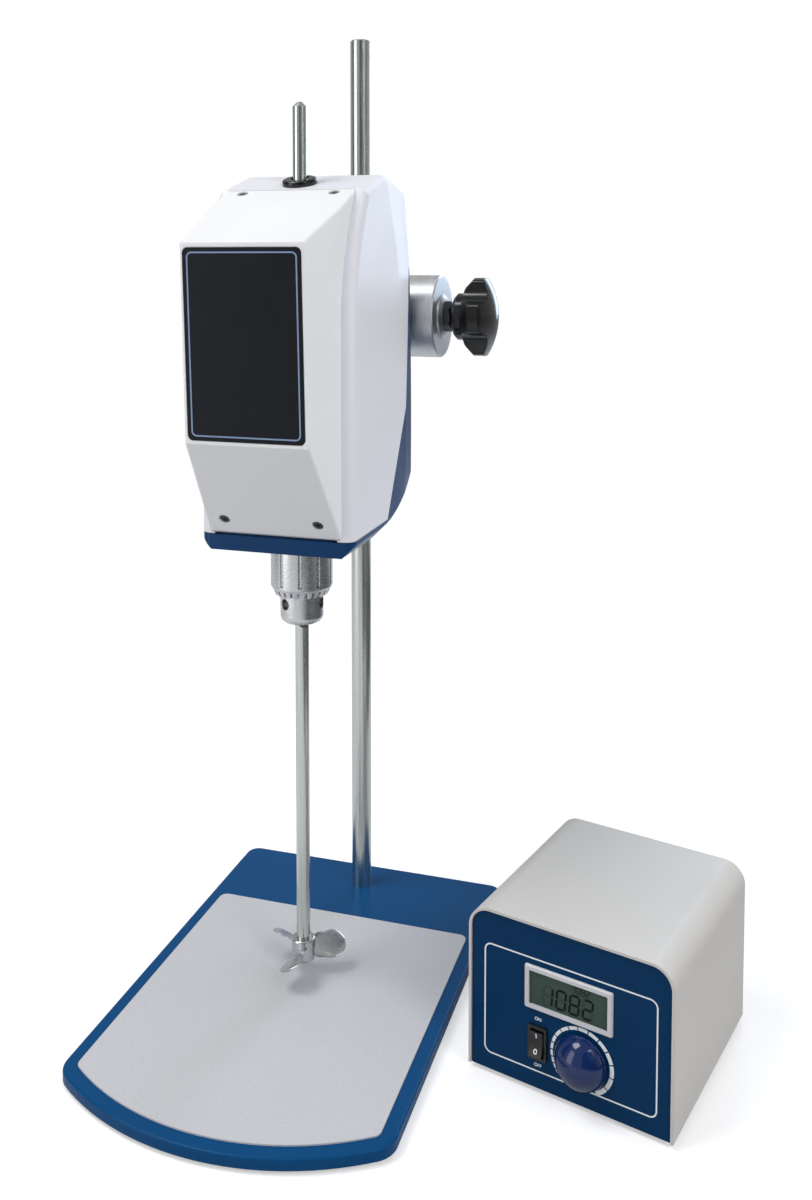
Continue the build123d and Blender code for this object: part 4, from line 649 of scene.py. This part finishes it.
# ------------------------------------------------------------------ floor, light, camera
def seen_rays(tree):
    """1 for rays that show the backdrop: to the camera, or through glass."""
    paths = add(tree, "ShaderNodeLightPath")
    return math_node(tree, "MAXIMUM", paths.outputs["Is Camera Ray"], paths.outputs["Is Transmission Ray"])


def make_floor():
    """White paper that keeps the shadows near the object and fades into the white backdrop."""
    bpy.ops.mesh.primitive_plane_add(size=FLOOR_SIZE, location=(0, 0, 0))
    floor = bpy.context.object
    floor.name = "floor"
    material, tree, shader = new_material("floor_paper")
    coords = object_coords(tree, FLOOR_MIDDLE)
    shader.inputs["Roughness"].default_value = FLOOR_ROUGHNESS
    shader.inputs["Specular IOR Level"].default_value = 0.0
    seen = seen_rays(tree)
    bounced = add(tree, "ShaderNodeLightPath").outputs["Is Diffuse Ray"]
    paper = blend_colour(tree, bounced, srgb(*FLOOR_PAPER), srgb(*FLOOR_BOUNCE))
    tree.links.new(paper, shader.inputs["Base Color"])
    distance = add(tree, "ShaderNodeVectorMath", operation="LENGTH")
    tree.links.new(coords, distance.inputs[0])
    far = add(tree, "ShaderNodeMapRange", interpolation_type="SMOOTHSTEP")
    far.inputs["From Min"].default_value, far.inputs["From Max"].default_value = FLOOR_FADE
    tree.links.new(distance.outputs["Value"], far.inputs["Value"])
    backdrop = add(tree, "ShaderNodeEmission")
    backdrop.inputs["Strength"].default_value = 1.0
    lift = add(tree, "ShaderNodeEmission")
    tree.links.new(math_node(tree, "MULTIPLY", seen, FLOOR_LIFT), lift.inputs["Strength"])
    near = add(tree, "ShaderNodeAddShader")
    tree.links.new(shader.outputs[0], near.inputs[0])
    tree.links.new(lift.outputs[0], near.inputs[1])
    mix = add(tree, "ShaderNodeMixShader")
    tree.links.new(math_node(tree, "MULTIPLY", seen, far.outputs["Result"]), mix.inputs[0])
    tree.links.new(near.outputs[0], mix.inputs[1])
    tree.links.new(backdrop.outputs[0], mix.inputs[2])
    tree.links.new(mix.outputs[0], tree.nodes["Material Output"].inputs["Surface"])
    floor.data.materials.append(material)


def area_light(name, place, target, size, power, tint, gleam, spill):
    """A rectangular lamp; gleam is its share in reflections, spill its share on matt surfaces."""
    lamp = bpy.data.lights.new(name, "AREA")
    lamp.shape = "RECTANGLE"
    lamp.size, lamp.size_y = size
    lamp.energy = power
    lamp.color = tint
    lamp.specular_factor = gleam
    lamp.diffuse_factor = spill
    holder = bpy.data.objects.new(name, lamp)
    bpy.context.collection.objects.link(holder)
    holder.location = place
    holder.rotation_euler = (Vector(target) - Vector(place)).to_track_quat("-Z", "Y").to_euler()


def dark_card(name, place, target, size):
    """A grey card outside the picture that gives polished metal its dark bands."""
    bpy.ops.mesh.primitive_plane_add(size=1, location=place)
    card = bpy.context.object
    card.name = name
    card.scale = (size[0], size[1], 1)
    card.rotation_euler = (Vector(target) - Vector(place)).to_track_quat("Z", "Y").to_euler()
    card.visible_camera = False
    card.visible_diffuse = False
    card.visible_shadow = False
    card.data.materials.append(ink(name, srgb(*CARD_GREY), 0.9))


def make_world():
    """Even white light, at full white only where the backdrop is seen."""
    world = bpy.data.worlds.new("studio")
    bpy.context.scene.world = world
    world.use_nodes = True
    tree = world.node_tree
    background = tree.nodes["Background"]
    strength = spread(tree, seen_rays(tree), WORLD_LIGHT, 1.0, 0, 1)
    background.inputs["Color"].default_value = (1, 1, 1, 1)
    tree.links.new(strength, background.inputs["Strength"])


def make_camera():
    """The photograph's camera, nearly level: the frame is shifted down where it would be tilted."""
    data = bpy.data.cameras.new("camera")
    data.lens = CAMERA_LENS
    data.sensor_width = CAMERA_SENSOR
    data.sensor_fit = "AUTO"
    data.shift_x, data.shift_y = CAMERA_SHIFT
    data.clip_start, data.clip_end = CAMERA_CLIP
    holder = bpy.data.objects.new("camera", data)
    bpy.context.collection.objects.link(holder)
    holder.location = CAMERA_AT
    holder.rotation_euler = (math.pi / 2 - CAMERA_PITCH, 0, CAMERA_AZIMUTH)
    bpy.context.scene.camera = holder


make_floor()
make_world()
for lamp in LAMPS:
    area_light(*lamp)
for card in DARK_CARDS:
    dark_card(*card)
make_camera()
bpy.context.scene.view_settings.view_transform = "Standard"
